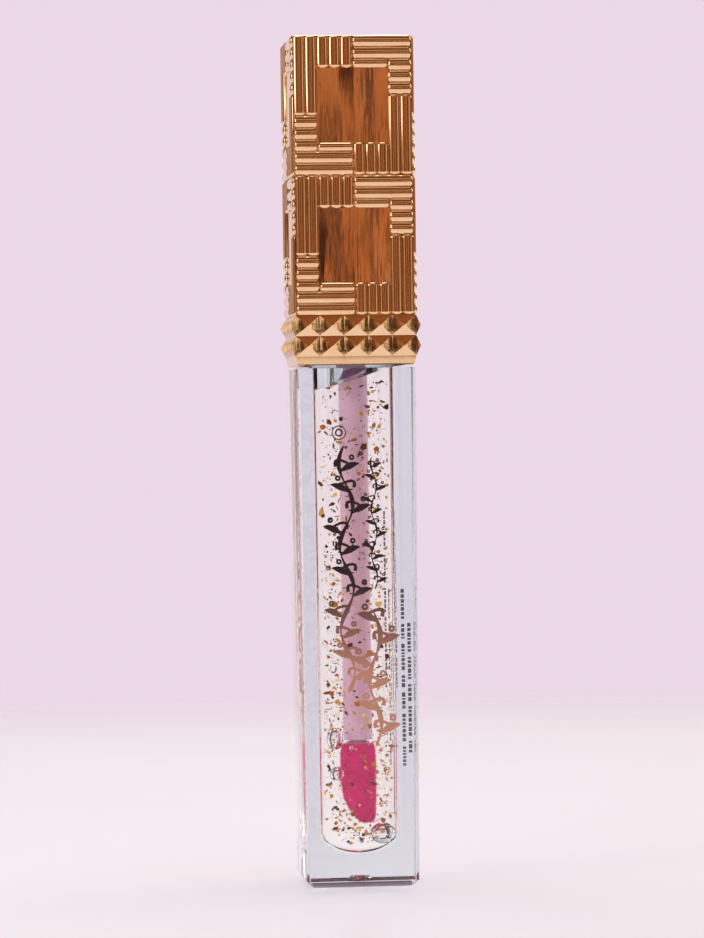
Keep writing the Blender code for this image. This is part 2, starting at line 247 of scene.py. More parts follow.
def cut(target: bpy.types.Object, tool: bpy.types.Object, operation: str) -> None:
    """Apply a Boolean with another object and remove that object.

    Args:
        target: The object to change.
        tool: The object to unite or take away.
        operation: UNION or DIFFERENCE.
    """
    activate(target)
    step = target.modifiers.new("cut", "BOOLEAN")
    step.operation, step.object, step.solver = operation, tool, "EXACT"
    bpy.ops.object.modifier_apply(modifier=step.name)
    bpy.data.objects.remove(tool, do_unlink=True)


# ----------------------------------------------------------------- finishes


class Graph:
    """A material's or world's node tree, with short ways to add and join nodes."""

    def __init__(self, material: bpy.types.Material | bpy.types.World,
                 output: str = "ShaderNodeOutputMaterial") -> None:
        """Clear the tree and keep its output."""
        material.use_nodes = True
        self.material = material
        self.tree = material.node_tree
        self.tree.nodes.clear()
        self.output = self.add(output)

    def math(self, operation: str, *values: bpy.types.NodeSocket | float) -> bpy.types.NodeSocket:
        """Return a Math node's result."""
        return self.add("ShaderNodeMath", dict(enumerate(values)), operation=operation).outputs[0]

    def mix(self, share: bpy.types.NodeSocket, low: bpy.types.NodeSocket | tuple,
            high: bpy.types.NodeSocket | tuple) -> bpy.types.NodeSocket:
        """Return a mix of two colours."""
        return self.add("ShaderNodeMix", {0: share, 6: low, 7: high},
                        data_type="RGBA").outputs[2]

    def shaders(self, share: bpy.types.NodeSocket, low: bpy.types.NodeSocket,
                high: bpy.types.NodeSocket) -> bpy.types.NodeSocket:
        """Return a mix of two shaders."""
        return self.add("ShaderNodeMixShader", {0: share, 1: low, 2: high}).outputs[0]

    def lamp_lit(self, shader: bpy.types.Node,
                 tint: tuple[float, float, float]) -> bpy.types.NodeSocket:
        """Let lamp light through a clear shader to what lies behind it.

        Args:
            shader: The clear shader's node.
            tint: What colour the light takes on the way.

        Returns:
            The mixed shader.
        """
        clear = self.add("ShaderNodeBsdfTransparent", {"Color": (*tint, 1.0)})
        path = self.add("ShaderNodeLightPath")
        return self.shaders(path.outputs["Is Shadow Ray"], shader.outputs[0],
                            clear.outputs[0])

    def done(self, shader: bpy.types.NodeSocket) -> bpy.types.Material | bpy.types.World:
        """Send the shader to the output and return the material or world."""
        self.tree.links.new(shader, self.output.inputs[0])
        return self.material

    def add(self, kind: str, inputs: dict | None = None, **settings: object) -> bpy.types.Node:
        """Add a node.

        Args:
            kind: The node's type.
            inputs: Socket values, or sockets to link from.
            **settings: The node's own properties.

        Returns:
            The node.
        """
        node = self.tree.nodes.new(kind)
        for key, value in settings.items():
            setattr(node, key, value)
        for key, value in (inputs or {}).items():
            if isinstance(value, bpy.types.NodeSocket):
                self.tree.links.new(value, node.inputs[key])
            else:
                node.inputs[key].default_value = value
        return node

    def coords(self, scale: tuple[float, float, float] = (1, 1, 1)) -> bpy.types.NodeSocket:
        """Return object coordinates in metres times a scale."""
        place = self.add("ShaderNodeTexCoord")
        return self.add("ShaderNodeMapping", {"Vector": place.outputs["Object"],
                                              "Scale": scale}).outputs[0]

    def noise(self, vector: bpy.types.NodeSocket, scale: float, detail: float = 3.0,
              rough: float = 0.55) -> bpy.types.NodeSocket:
        """Return a noise value between 0 and 1."""
        return self.add("ShaderNodeTexNoise", {"Vector": vector, "Scale": scale,
                                               "Detail": detail,
                                               "Roughness": rough}).outputs[0]

    def ramp(self, value: bpy.types.NodeSocket,
             stops: list[tuple[float, tuple[float, float, float]]]) -> bpy.types.NodeSocket:
        """Return a colour ramp of a value.

        Args:
            value: The driving value.
            stops: (position, colour) pairs.

        Returns:
            The ramp's colour.
        """
        node = self.add("ShaderNodeValToRGB", {"Fac": value})
        band = node.color_ramp
        while len(band.elements) < len(stops):
            band.elements.new(0.5)
        for element, (at, colour) in zip(band.elements, stops):
            element.position = at
            element.color = (*colour, 1.0)
        return node.outputs[0]

    def spread(self, value: bpy.types.NodeSocket, low: float, high: float) -> bpy.types.NodeSocket:
        """Map a 0 to 1 value to another range."""
        return self.add("ShaderNodeMapRange", {"Value": value, "To Min": low,
                                               "To Max": high}).outputs[0]

    def bump(self, height: bpy.types.NodeSocket, depth: float,
             under: bpy.types.NodeSocket | None = None) -> bpy.types.NodeSocket:
        """Return a bumped normal whose height is in metres."""
        inputs = {"Height": height, "Distance": depth, "Strength": 1.0}
        if under is not None:
            inputs["Normal"] = under
        return self.add("ShaderNodeBump", inputs).outputs[0]


def surface_group() -> bpy.types.NodeTree:
    """Build the shared group of fine moulded grain, smudges and edge wear.

    Returns:
        The node group, with Grain, Smudge and Wear outputs.
    """
    known = bpy.data.node_groups.get("surface_detail")
    if known:
        return known
    tree = bpy.data.node_groups.new("surface_detail", "ShaderNodeTree")
    tree.interface.new_socket("Grain Scale", in_out="INPUT", socket_type="NodeSocketFloat")
    tree.interface.new_socket("Smudge Scale", in_out="INPUT", socket_type="NodeSocketFloat")
    for name in ("Grain", "Smudge", "Wear"):
        tree.interface.new_socket(name, in_out="OUTPUT", socket_type="NodeSocketFloat")
    nodes, links = tree.nodes, tree.links
    source, sink = nodes.new("NodeGroupInput"), nodes.new("NodeGroupOutput")
    place = nodes.new("ShaderNodeTexCoord")
    grain, smudge = nodes.new("ShaderNodeTexNoise"), nodes.new("ShaderNodeTexNoise")
    grain.inputs["Detail"].default_value = 4.0
    smudge.inputs["Detail"].default_value = 5.0
    smudge.inputs["Roughness"].default_value = 0.65
    for node, name in ((grain, "Grain Scale"), (smudge, "Smudge Scale")):
        links.new(place.outputs["Object"], node.inputs["Vector"])
        links.new(source.outputs[name], node.inputs["Scale"])
    shape = nodes.new("ShaderNodeNewGeometry")
    edge = nodes.new("ShaderNodeMapRange")
    edge.inputs["From Min"].default_value = 0.52
    edge.inputs["From Max"].default_value = 0.62
    links.new(shape.outputs["Pointiness"], edge.inputs["Value"])
    wear = nodes.new("ShaderNodeMath")
    wear.operation = "MULTIPLY"
    links.new(edge.outputs[0], wear.inputs[0])
    links.new(smudge.outputs[0], wear.inputs[1])
    links.new(grain.outputs[0], sink.inputs["Grain"])
    links.new(smudge.outputs[0], sink.inputs["Smudge"])
    links.new(wear.outputs[0], sink.inputs["Wear"])
    return tree


def detail(graph: Graph, grain: float, smudge: float) -> bpy.types.Node:
    """Place the shared surface group in a material with its own scales."""
    node = graph.add("ShaderNodeGroup", node_tree=surface_group())
    node.inputs["Grain Scale"].default_value = grain
    node.inputs["Smudge Scale"].default_value = smudge
    return node


@dataclass(frozen=True)
class RoseGoldPlate:
    """Vacuum-plated mirror rose gold."""

    name: str = "rose_gold_plate_finish"
    bright: tuple[float, float, float] = (0.90, 0.63, 0.38)
    deep: tuple[float, float, float] = (0.86, 0.56, 0.31)
    roughness: tuple[float, float] = (0.03, 0.09)

    def make(self) -> bpy.types.Material:
        """Return the material."""
        graph = Graph(bpy.data.materials.new(self.name))
        marks = detail(graph, 9000.0, 260.0)
        tone = graph.ramp(marks.outputs["Smudge"], [(0.3, self.deep), (0.7, self.bright)])
        rough = graph.spread(marks.outputs["Smudge"], *self.roughness)
        flow = graph.noise(graph.coords((1.0, 1.0, 0.12)), 900.0, 2.0)
        wave = graph.bump(flow, 0.000012)
        fine = graph.bump(marks.outputs["Grain"], 0.0000006, wave)
        shader = graph.add("ShaderNodeBsdfPrincipled", {
            "Base Color": tone, "Roughness": rough, "Metallic": 1.0, "Normal": fine})
        return graph.done(shader.outputs[0])


@dataclass(frozen=True)
class ClearResin:
    """Clear polished resin that lets lamp light through to what it holds."""

    name: str
    ior: float
    tint: tuple[float, float, float]
    roughness: tuple[float, float] = (0.0, 0.03)
    ripple: float = 0.000002

    def make(self) -> bpy.types.Material:
        """Return the material."""
        graph = Graph(bpy.data.materials.new(self.name))
        marks = detail(graph, 4000.0, 180.0)
        rough = graph.spread(marks.outputs["Smudge"], *self.roughness)
        tint = graph.ramp(marks.outputs["Smudge"], [
            (0.0, tuple(c * 0.99 for c in self.tint)), (1.0, self.tint)])
        normal = graph.bump(graph.noise(graph.coords(), 220.0, 1.0), self.ripple)
        shader = graph.add("ShaderNodeBsdfPrincipled", {
            "Base Color": tint, "Roughness": rough, "IOR": self.ior,
            "Transmission Weight": 1.0, "Normal": normal})
        once = tuple(math.sqrt(c) for c in self.tint)
        return graph.done(graph.lamp_lit(shader, once))


@dataclass(frozen=True)
class WettedWallPaintedLight:
    """The cavity's wall where gel lies against it; its glass colour above 1 is painted light that
    brightens the gel seen through it.
    """

    name: str = "clear_copolyester_wetted_painted_light"
    ior: float = 1.06
    painted_brightening: tuple[float, float, float] = (1.14, 1.11, 1.06)

    def make(self) -> bpy.types.Material:
        """Return the material."""
        graph = Graph(bpy.data.materials.new(self.name))
        marks = detail(graph, 3000.0, 200.0)
        # Painted light: a glass colour above 1 brightens the gel seen through this wall.
        tint = graph.ramp(marks.outputs["Smudge"], [
            (0.0, tuple(c * 0.985 for c in self.painted_brightening)), (1.0, self.painted_brightening)])
        shader = graph.add("ShaderNodeBsdfGlass", {
            "Color": tint, "IOR": self.ior, "Roughness": 0.0,
            "Normal": graph.bump(graph.noise(graph.coords(), 300.0, 1.0), 0.000002)})
        return graph.done(graph.lamp_lit(shader, (1.0, 1.0, 1.0)))


@dataclass(frozen=True)
class AirInGel:
    """The skin of an air bubble in the gel."""

    name: str = "air_bubble_skin"
    ior: float = 0.676

    def make(self) -> bpy.types.Material:
        """Return the material."""
        graph = Graph(bpy.data.materials.new(self.name))
        marks = detail(graph, 3000.0, 900.0)
        tint = graph.ramp(marks.outputs["Smudge"], [(0.2, (0.97, 0.94, 0.96)),
                                                    (0.8, (1.0, 1.0, 1.0))])
        shader = graph.add("ShaderNodeBsdfGlass", {"Color": tint, "IOR": self.ior,
                                                   "Roughness": 0.0})
        return graph.done(shader.outputs[0])


@dataclass(frozen=True)
class Solid:
    """An opaque finish with mottled colour, grain and an optional sheen or coat."""

    name: str
    dark: tuple[float, float, float]
    light: tuple[float, float, float]
    roughness: tuple[float, float] = (0.35, 0.5)
    grain: float = 3000.0
    mottle: float = 400.0
    depth: float = 0.00001
    subsurface: float = 0.0
    sheen: float = 0.0
    coat: float = 0.0
    soft_radius: tuple[float, float, float] = (0.002, 0.001, 0.001)

    def make(self) -> bpy.types.Material:
        """Return the material."""
        graph = Graph(bpy.data.materials.new(self.name))
        marks = detail(graph, self.grain, self.mottle)
        tone = graph.ramp(marks.outputs["Smudge"], [(0.3, self.dark), (0.7, self.light)])
        rough = graph.spread(marks.outputs["Grain"], *self.roughness)
        normal = graph.bump(marks.outputs["Grain"], self.depth)
        shader = graph.add("ShaderNodeBsdfPrincipled", {
            "Base Color": tone, "Roughness": rough,
            "Subsurface Weight": self.subsurface, "Subsurface Radius": self.soft_radius,
            "Subsurface Scale": 1.0, "Sheen Weight": self.sheen,
            "Coat Weight": self.coat, "Coat Roughness": 0.05, "Normal": normal})
        return graph.done(shader.outputs[0])


@dataclass(frozen=True)
class GoldLeaf:
    """Flakes whose tone changes from piece to piece: gold, orange and dark brown."""

    name: str = "gold_leaf_flakes"

    def make(self) -> bpy.types.Material:
        """Return the material."""
        graph = Graph(bpy.data.materials.new(self.name))
        tone = graph.add("ShaderNodeAttribute", attribute_name="flake_tone")
        colour = graph.ramp(tone.outputs["Fac"], [
            (0.0, (0.035, 0.012, 0.006)), (0.30, (0.16, 0.045, 0.012)),
            (0.52, (0.62, 0.20, 0.02)), (0.72, (0.95, 0.50, 0.06)), (1.0, (1.0, 0.74, 0.28))])
        marks = detail(graph, 6000.0, 3000.0)
        rough = graph.spread(marks.outputs["Smudge"], 0.18, 0.42)
        crinkle = graph.bump(marks.outputs["Grain"], 0.00002)
        shader = graph.add("ShaderNodeBsdfPrincipled", {
            "Base Color": colour, "Roughness": rough, "Metallic": 0.4, "Normal": crinkle})
        return graph.done(shader.outputs[0])


@dataclass(frozen=True)
class PrintInk:
    """Ink that runs from near-black brown at the top to rose gold foil below."""

    name: str = "printed_ink"
    top: tuple[float, float, float] = (0.022, 0.010, 0.010)
    foil: tuple[float, float, float] = (0.68, 0.36, 0.24)
    fade_z: tuple[float, float] = (0.030, 0.042)

    def make(self) -> bpy.types.Material:
        """Return the material."""
        graph = Graph(bpy.data.materials.new(self.name))
        place = graph.add("ShaderNodeTexCoord")
        height = graph.add("ShaderNodeSeparateXYZ", {"Vector": place.outputs["Object"]})
        fade = graph.add("ShaderNodeMapRange", {
            "Value": height.outputs["Z"], "From Min": self.fade_z[0],
            "From Max": self.fade_z[1]}).outputs[0]
        tone = graph.ramp(fade, [(0.0, self.foil), (0.35, (0.42, 0.20, 0.14)),
                                 (1.0, self.top)])
        shine = graph.add("ShaderNodeMapRange", {"Value": fade, "To Min": 0.55,
                                                 "To Max": 0.05}).outputs[0]
        marks = detail(graph, 7000.0, 900.0)
        rough = graph.spread(marks.outputs["Smudge"], 0.28, 0.42)
        shader = graph.add("ShaderNodeBsdfPrincipled", {
            "Base Color": tone, "Roughness": rough, "Metallic": shine,
            "Normal": graph.bump(marks.outputs["Grain"], 0.000002)})
        return graph.done(shader.outputs[0])


# ------------------------------------------------------------------- bottle


@dataclass
class Bottle:
    """The clear block bottle, its round cavity and its threaded neck."""

    base_half: float = 7.875 * MM
    shoulder_half: float = 8.3 * MM
    shoulder_z: float = 72.4 * MM
    neck_top: float = 82.4 * MM
    neck_r: float = 6.0 * MM
    bore_r: float = 5.5 * MM
    cavity_top_r: float = 5.45 * MM
    cavity_low_r: float = 5.2 * MM
    wall_z: float = 7.5 * MM
    floor_z: float = 4.45 * MM
    thread_r: float = 6.33 * MM
    thread_z: float = 76.2 * MM
    lead: float = 2.117 * MM
    turns: float = 1.5
    gel_level: float = 70.65 * MM
    gel_slope: float = 0.315
    chamfer: float = 0.9 * MM
    corner_r: float = 0.45 * MM
    ease: float = 0.1 * MM
    gate_r: float = 1.7 * MM
    gate_depth: float = 1.6 * MM
    tint: tuple[float, float, float] = (0.79, 0.865, 0.90)

    def half_at(self, z: float) -> float:
        """Return the block's half width at a height."""
        return self.base_half + (self.shoulder_half - self.base_half) * z / self.shoulder_z

    def block(self) -> bpy.types.Object:
        """Model the tapered block with its soft edges and base chamfer."""
        tall = self.shoulder_z
        deselect_all()
        bpy.ops.mesh.primitive_cube_add(size=1.0, location=(0, 0, tall / 2))
        obj = named("bottle_block")
        bpy.ops.transform.resize(value=(2 * self.shoulder_half, 2 * self.shoulder_half, tall))
        place_in_mesh(obj)
        edit(obj)
        pick(Pick.FACE, lambda c, f: c.z < 1e-5)
        shrink = self.base_half / self.shoulder_half
        bpy.ops.transform.resize(value=(shrink, shrink, 1.0))
        bpy.ops.mesh.select_mode(type="EDGE")
        pick(Pick.EDGE, lambda c, e: c.z < 1e-5)
        bpy.ops.mesh.bevel(offset=self.chamfer, segments=1, affect="EDGES")
        pick(Pick.EDGE, lambda c, e: abs(e.verts[0].co.z - e.verts[1].co.z) > 0.1 * MM)
        bpy.ops.mesh.bevel(offset=self.corner_r, segments=4, affect="EDGES")
        pick(Pick.EDGE, lambda c, e: c.z > tall - 1e-5
             or (c.z < 1.0 * MM and abs(e.verts[0].co.z - e.verts[1].co.z) < 1e-6))
        bpy.ops.mesh.bevel(offset=self.ease, segments=2, affect="EDGES")
        return finish_edit(obj, 25.0)

    def cavity_profile(self, top: float, slack: float = 0.0) -> list[tuple[float, float]]:
        """Return the cavity's profile from its dome up to a height.

        Args:
            top: The profile's upper height.
            slack: How far the profile stays inside the cavity.

        Returns:
            (radius, height) points, dome first, ending on the axis.
        """
        deep = self.wall_z - self.floor_z - slack
        low_r = self.cavity_low_r - slack
        dome = [(low_r * math.sin(math.radians(a)),
                 self.wall_z - deep * math.cos(math.radians(a))) for a in range(0, 91, 9)]
        reach = min(top, self.shoulder_z)
        grow = (reach - self.wall_z) / (self.shoulder_z - self.wall_z)
        wide = low_r + (self.cavity_top_r - self.cavity_low_r) * grow
        return dome + [(wide, reach)]

    def build(self) -> bpy.types.Object:
        """Model the whole bottle and mark where gel wets the cavity."""
        bottle = self.block()
        neck = turn_profile("neck", [
            (0.0, self.shoulder_z - 1.5 * MM), (self.neck_r, self.shoulder_z - 1.5 * MM),
            (self.neck_r, self.neck_top - 0.15 * MM), (self.neck_r - 0.15 * MM, self.neck_top),
            (0.0, self.neck_top)])
        cut(bottle, neck, "UNION")
        cavity = turn_profile("cavity", self.cavity_profile(self.shoulder_z) + [
            (self.bore_r, self.shoulder_z + 0.6 * MM), (self.bore_r, self.neck_top + MM),
            (0.0, self.neck_top + MM)])
        cut(bottle, cavity, "DIFFERENCE")
        gate = turn_profile("gate", [
            (0.0, -MM), (self.gate_r, -MM), (self.gate_r, 1.1 * MM), (1.2 * MM, 1.5 * MM),
            (0.0, self.gate_depth)], 48)
        cut(bottle, gate, "DIFFERENCE")
        self.mark_wet(bottle)
        return self.with_thread(bottle)

    def mark_wet(self, bottle: bpy.types.Object) -> None:
        """Split the cavity wall at the gel's level and give the wet part its own slot, whose glass
        paints extra light on the gel.
        """
        bottle.data.materials.clear()
        bottle.data.materials.append(ClearResin(
            "clear_copolyester_finish", 1.57, self.tint).make())
        bottle.data.materials.append(WettedWallPaintedLight().make())
        edit(bottle)
        within = self.cavity_top_r + 0.05 * MM

        def on_cavity(face: object) -> bool:
            """Say whether a face lies on the cavity's wall."""
            return all(v.co.xy.length < within and self.floor_z - 1e-5 < v.co.z
                       < self.shoulder_z + 1e-5 for v in face.verts)

        pick(Pick.FACE, lambda c, f: on_cavity(f))
        lean = Vector((-self.gel_slope, 0.0, 1.0)).normalized()
        bpy.ops.mesh.bisect(plane_co=(0, 0, self.gel_level), plane_no=lean)
        pick(Pick.FACE, lambda c, f: on_cavity(f)
             and (c - Vector((0, 0, self.gel_level))).dot(lean) < 0)
        bottle.active_material_index = 1
        bpy.ops.object.material_slot_assign()
        finish_edit(bottle, 25.0)

    def with_thread(self, bottle: bpy.types.Object) -> bpy.types.Object:
        """Wind the neck's thread and join it on."""
        steps = 96
        deselect_all()
        bpy.ops.mesh.primitive_plane_add(size=1.0, location=(0, 0, 0))
        rib = named("thread_rib")
        edit(rib)
        bpy.ops.mesh.select_all(action="SELECT")
        bpy.ops.transform.rotate(value=math.pi / 2, orient_axis="X",
                                 center_override=(0, 0, 0))
        depth = self.thread_r - self.neck_r + 0.2 * MM
        bpy.ops.transform.resize(value=(depth, 1.0, 0.8 * MM), center_override=(0, 0, 0))
        bpy.ops.transform.translate(value=(self.thread_r - depth / 2, 0, self.thread_z))
        pick(Pick.EDGE, lambda c, e: c.x > self.thread_r - 1e-5)
        bpy.ops.transform.resize(value=(1.0, 1.0, 0.4))
        bpy.ops.object.mode_set(mode="OBJECT")
        wind = rib.modifiers.new("wind", "SCREW")
        wind.angle, wind.screw_offset = math.tau * self.turns, self.lead * self.turns
        wind.steps = wind.render_steps = int(steps * self.turns)
        wind.use_merge_vertices = False
        activate(rib)
        bpy.ops.object.modifier_apply(modifier=wind.name)
        edit(rib, Pick.EDGE)
        bpy.ops.mesh.select_all(action="SELECT")
        bpy.ops.mesh.remove_doubles(threshold=1e-7)
        bpy.ops.mesh.select_all(action="DESELECT")
        bpy.ops.mesh.select_non_manifold()
        bpy.ops.mesh.fill_holes(sides=8)
        finish_edit(rib)
        rib.data.materials.append(bottle.data.materials[0])
        return join_all("bottle_clear", [bottle, rib])


# --------------------------------------------------------------------- gel


@dataclass
class Gloss:
    """The gel, its flakes and bubbles, and the bead of it round the stem."""

    bottle: Bottle
    flakes: int = 2300
    seed: int = 29
    bead_r: float = 2.12 * MM
    bead_gap: float = 0.3 * MM
    # Middle in X, Y and Z, half width and half height, in millimetres.
    bubbles: tuple[tuple[float, float, float, float, float], ...] = (
        (-3.35, -2.6, 20.6, 1.12, 1.55), (-3.1, -2.75, 15.7, 1.0, 1.0),
        (3.75, -2.4, 21.5, 0.5, 0.55), (3.15, -2.0, 7.25, 1.75, 1.5),
        (-1.2, -4.0, 19.3, 0.28, 0.3), (2.2, -3.9, 6.6, 0.35, 0.35))

    def fill(self) -> bpy.types.Object:
        """Model the gel with its leaning top."""
        maker = self.bottle
        profile = maker.cavity_profile(maker.gel_level, 0.02 * MM)
        gel = turn_profile("gloss_gel", profile + [(0.0, maker.gel_level)])
        for vert in gel.data.vertices:
            if vert.co.z > maker.gel_level - 1e-6:
                vert.co.z += maker.gel_slope * vert.co.x
        gel.data.materials.append(ClearResin(
            "gloss_gel_body", 1.0, (0.985, 0.955, 0.975), (0.0, 0.0), 0.0).make())
        gel.data.materials.append(ClearResin(
            "gloss_gel_top", 1.48, (0.95, 0.85, 0.92), (0.0, 0.04), 0.00003).make())
        edit(gel)
        pick(Pick.FACE, lambda c, f: f.normal.z > 0.6 and c.z > 60 * MM)
        gel.active_material_index = 1
        bpy.ops.object.material_slot_assign()
        return finish_edit(gel)

    def film(self) -> bpy.types.Object:
        """Model the bead of gel that clings round the stem."""
        low = self.bottle.gel_level + self.bead_gap
        r = self.bead_r
        rows = [(r, 0.0), (r + 1.1 * MM, 0.0), (r + 1.0 * MM, 0.12 * MM),
                (r + 0.55 * MM, 0.3 * MM), (r + 0.25 * MM, 0.6 * MM), (r, 0.9 * MM)]
        bead = turn_profile("gloss_bead", [(x, low + z) for x, z in rows], 64, 60.0)
        for vert in bead.data.vertices:
            vert.co.z += self.bottle.gel_slope * vert.co.x
        bead.data.materials.append(Solid(
            "gloss_bead_finish", (0.38, 0.08, 0.26), (0.60, 0.22, 0.44), (0.05, 0.12),
            coat=1.0, subsurface=0.3).make())
        return bead

    def one_flake(self, sides: int) -> bpy.types.Object:
        """Model one thin flake with a torn outline."""
        deselect_all()
        bpy.ops.mesh.primitive_cylinder_add(vertices=sides, radius=0.5, depth=0.05)
        obj = named("flake")
        edit(obj, Pick.VERT)
        chance = random.Random(self.seed + sides)
        for k in range(sides):
            angle = math.tau * k / sides
            way = Vector((math.sin(angle), math.cos(angle), 0)) * 0.5
            pick(Pick.VERT, lambda c, v, w=way: (Vector((c.x, c.y, 0)) - w).length < 0.02)
            size = chance.uniform(0.55, 1.35)
            bpy.ops.transform.resize(value=(size, size, 1.0), center_override=(0, 0, 0))
        return finish_edit(obj)

    def scatter(self) -> bpy.types.Object:
        """Scatter the flakes through the gel, clear of the stem and tip."""
        chance = random.Random(self.seed)
        shapes = [self.one_flake(n) for n in (4, 5, 6)]
        groups: list[list[Matrix]] = [[], [], []]
        for _ in range(self.flakes):
            z = chance.uniform(5.6, 70.0) * MM
            wide = 4.95 * MM if z > 9 * MM else 3.6 * MM
            big = min(1.1, 0.17 + chance.expovariate(4.2)) * MM
            hole = (2.9 * MM if z < 24 * MM else 2.1 * MM) + big * 0.5
            if z + big < 8.3 * MM:
                hole = 0.0
            r = math.sqrt(chance.uniform(hole ** 2, max(hole, wide) ** 2))
            a = chance.uniform(0, math.tau)
            turn = Matrix.Rotation(chance.uniform(0, math.tau), 4, Vector((
                chance.gauss(0, 1), chance.gauss(0, 1), chance.gauss(0, 1))).normalized())
            size = Matrix.Diagonal((big, big * chance.uniform(0.45, 1.0), big * 0.6, 1.0))
            place = Matrix.Translation((r * math.cos(a), r * math.sin(a), z))
            groups[chance.randrange(3)].append(place @ turn @ size)
        parts = []
        for index, (shape, places) in enumerate(zip(shapes, groups)):
            faces = len(shape.data.polygons)
            part = copies(shape, places, f"flakes_{index}")
            tone = part.data.attributes.new("flake_tone", "FLOAT", "FACE")
            for n in range(len(places)):
                value = chance.random()
                for f in range(faces):
                    tone.data[n * faces + f].value = value
            parts.append(part)
        flakes = join_all("gloss_flakes", parts)
        flakes.data.materials.clear()
        flakes.data.materials.append(GoldLeaf().make())
        return flakes

    def air(self) -> bpy.types.Object:
        """Model the air bubbles held in the gel."""
        parts = []
        for x, y, z, wide, tall in self.bubbles:
            deselect_all()
            bpy.ops.mesh.primitive_uv_sphere_add(
                segments=40, ring_count=24, radius=1.0, location=(x * MM, y * MM, z * MM))
            bubble = named("bubble")
            bpy.ops.transform.resize(value=(wide * MM, wide * 0.8 * MM, tall * MM))
            place_in_mesh(bubble)
            edit(bubble, Pick.VERT)
            pick(Pick.VERT, lambda c, v, top=(z + tall * 0.8) * MM: c.z > top)
            bpy.ops.transform.translate(value=(0.04 * MM, 0, 0.05 * MM))
            parts.append(finish_edit(bubble, 80.0))
        air = join_all("gloss_bubbles", parts)
        air.data.materials.append(AirInGel().make())
        return air


# -------------------------------------------------------------------- wand


@dataclass
class Wand:
    """The stem and the flocked doe-foot tip."""

    stem_r: float = 2.05 * MM
    stem_low: float = 20.3 * MM
    stem_top: float = 95.5 * MM
    spigot_r: float = 1.2 * MM
    spigot_low: float = 12.8 * MM
    fibre_r: float = 0.03 * MM
    fibre_length: float = 0.44 * MM
    fibres: int = 7000
    seed: int = 7
    # Height, middle in X, half width in X and half width in Y, in millimetres.
    sections: tuple[tuple[float, float, float, float], ...] = (
        (19.75, 0.00, 2.05, 2.05), (19.45, 0.00, 2.26, 2.26), (18.90, 0.00, 2.38, 2.38),
        (18.00, 0.00, 2.42, 2.42), (16.00, 0.00, 2.42, 2.42), (14.20, 0.02, 2.40, 2.42),
        (13.10, 0.10, 2.32, 2.41), (12.20, 0.20, 2.20, 2.38), (11.30, 0.38, 1.98, 2.30),
        (10.60, 0.56, 1.78, 2.20), (10.00, 0.75, 1.54, 2.00), (9.50, 0.93, 1.28, 1.74),
        (9.15, 1.03, 1.00, 1.38), (8.95, 1.10, 0.70, 0.96), (8.85, 1.14, 0.36, 0.50))

    def stem(self) -> bpy.types.Object:
        """Model the stem and its spigot."""
        r, low, top = self.stem_r, self.stem_low, self.stem_top
        stem = turn_profile("wand_stem", [
            (0.0, self.spigot_low), (1.0 * MM, self.spigot_low),
            (self.spigot_r, self.spigot_low + 0.3 * MM), (self.spigot_r, low),
            (r - 0.1 * MM, low), (r, low + 0.1 * MM), (r, top - 0.4 * MM),
            (r - 0.4 * MM, top), (0.0, top)], 64)
        stem.data.materials.append(Solid(
            "pink_stem_finish", (0.78, 0.50, 0.63), (0.86, 0.58, 0.71), (0.3, 0.42),
            subsurface=0.35, depth=0.000004, mottle=120.0).make())
        return stem

    def at(self, share: float) -> tuple[float, float, float, float]:
        """Return the section at a share of the way down the tip."""
        rows = self.sections
        z = rows[0][0] + (rows[-1][0] - rows[0][0]) * share
        for above, below in zip(rows, rows[1:]):
            if above[0] >= z >= below[0]:
                t = (above[0] - z) / (above[0] - below[0])
                return tuple(a + (b - a) * t for a, b in zip(above, below))
        return rows[-1]

    def tip(self) -> bpy.types.Object:
        """Model the flock sleeve section by section and plant its fibres."""
        deselect_all()
        first = self.sections[0]
        bpy.ops.mesh.primitive_circle_add(vertices=48, radius=1.0, fill_type="NGON")
        tip = named("tip_body")
        edit(tip)
        bpy.ops.mesh.select_all(action="SELECT")
        bpy.ops.transform.resize(value=(first[2] * MM, first[3] * MM, 1.0),
                                 center_override=(0, 0, 0))
        bpy.ops.transform.translate(value=(first[1] * MM, 0, first[0] * MM))
        bpy.ops.mesh.duplicate()
        for above, below in zip(self.sections, self.sections[1:]):
            bpy.ops.mesh.extrude_region_move(TRANSFORM_OT_translate={
                "value": ((below[1] - above[1]) * MM, 0, (below[0] - above[0]) * MM)})
            bpy.ops.transform.resize(
                value=(below[2] / above[2], below[3] / above[3], 1.0),
                center_override=(below[1] * MM, 0, below[0] * MM))
        tip = finish_edit(tip, 70.0)
        flock = join_all("tip_flock", [tip, self.fibre_coat()])
        flock.data.materials.clear()
        flock.data.materials.append(Solid(
            "magenta_flock_finish", (0.78, 0.003, 0.16), (0.97, 0.014, 0.28), (0.8, 0.95),
            grain=12000.0, mottle=900.0, depth=0.00006, sheen=0.08).make())
        return flock

    def fibre_coat(self) -> bpy.types.Object:
        """Model one fibre and plant copies of it all over the tip."""
        deselect_all()
        bpy.ops.mesh.primitive_cone_add(vertices=3, radius1=self.fibre_r,
                                        depth=self.fibre_length,
                                        location=(0, 0, self.fibre_length / 2))
        fibre = named("fibre")
        place_in_mesh(fibre)
        chance = random.Random(self.seed)
        places = []
        for _ in range(self.fibres):
            z, mid, half_x, half_y = self.at(chance.random())
            a = chance.uniform(0, math.tau)
            spot = Vector(((mid + half_x * 0.97 * math.cos(a)) * MM,
                           half_y * 0.97 * math.sin(a) * MM, z * MM))
            drop = 0.0 if z > 11 else -(11 - z) * 0.9
            way = Vector((math.cos(a) + chance.gauss(0, 0.25),
                          math.sin(a) + chance.gauss(0, 0.25),
                          drop + chance.gauss(0, 0.3))).normalized()
            turn = way.to_track_quat("Z", "Y").to_matrix().to_4x4()
            grow = Matrix.Diagonal((1, 1, chance.uniform(0.45, 1.0), 1))
            places.append(Matrix.Translation(spot) @ turn @ grow)
        return copies(fibre, places, "fibres")


# --------------------------------------------------------------------- cap


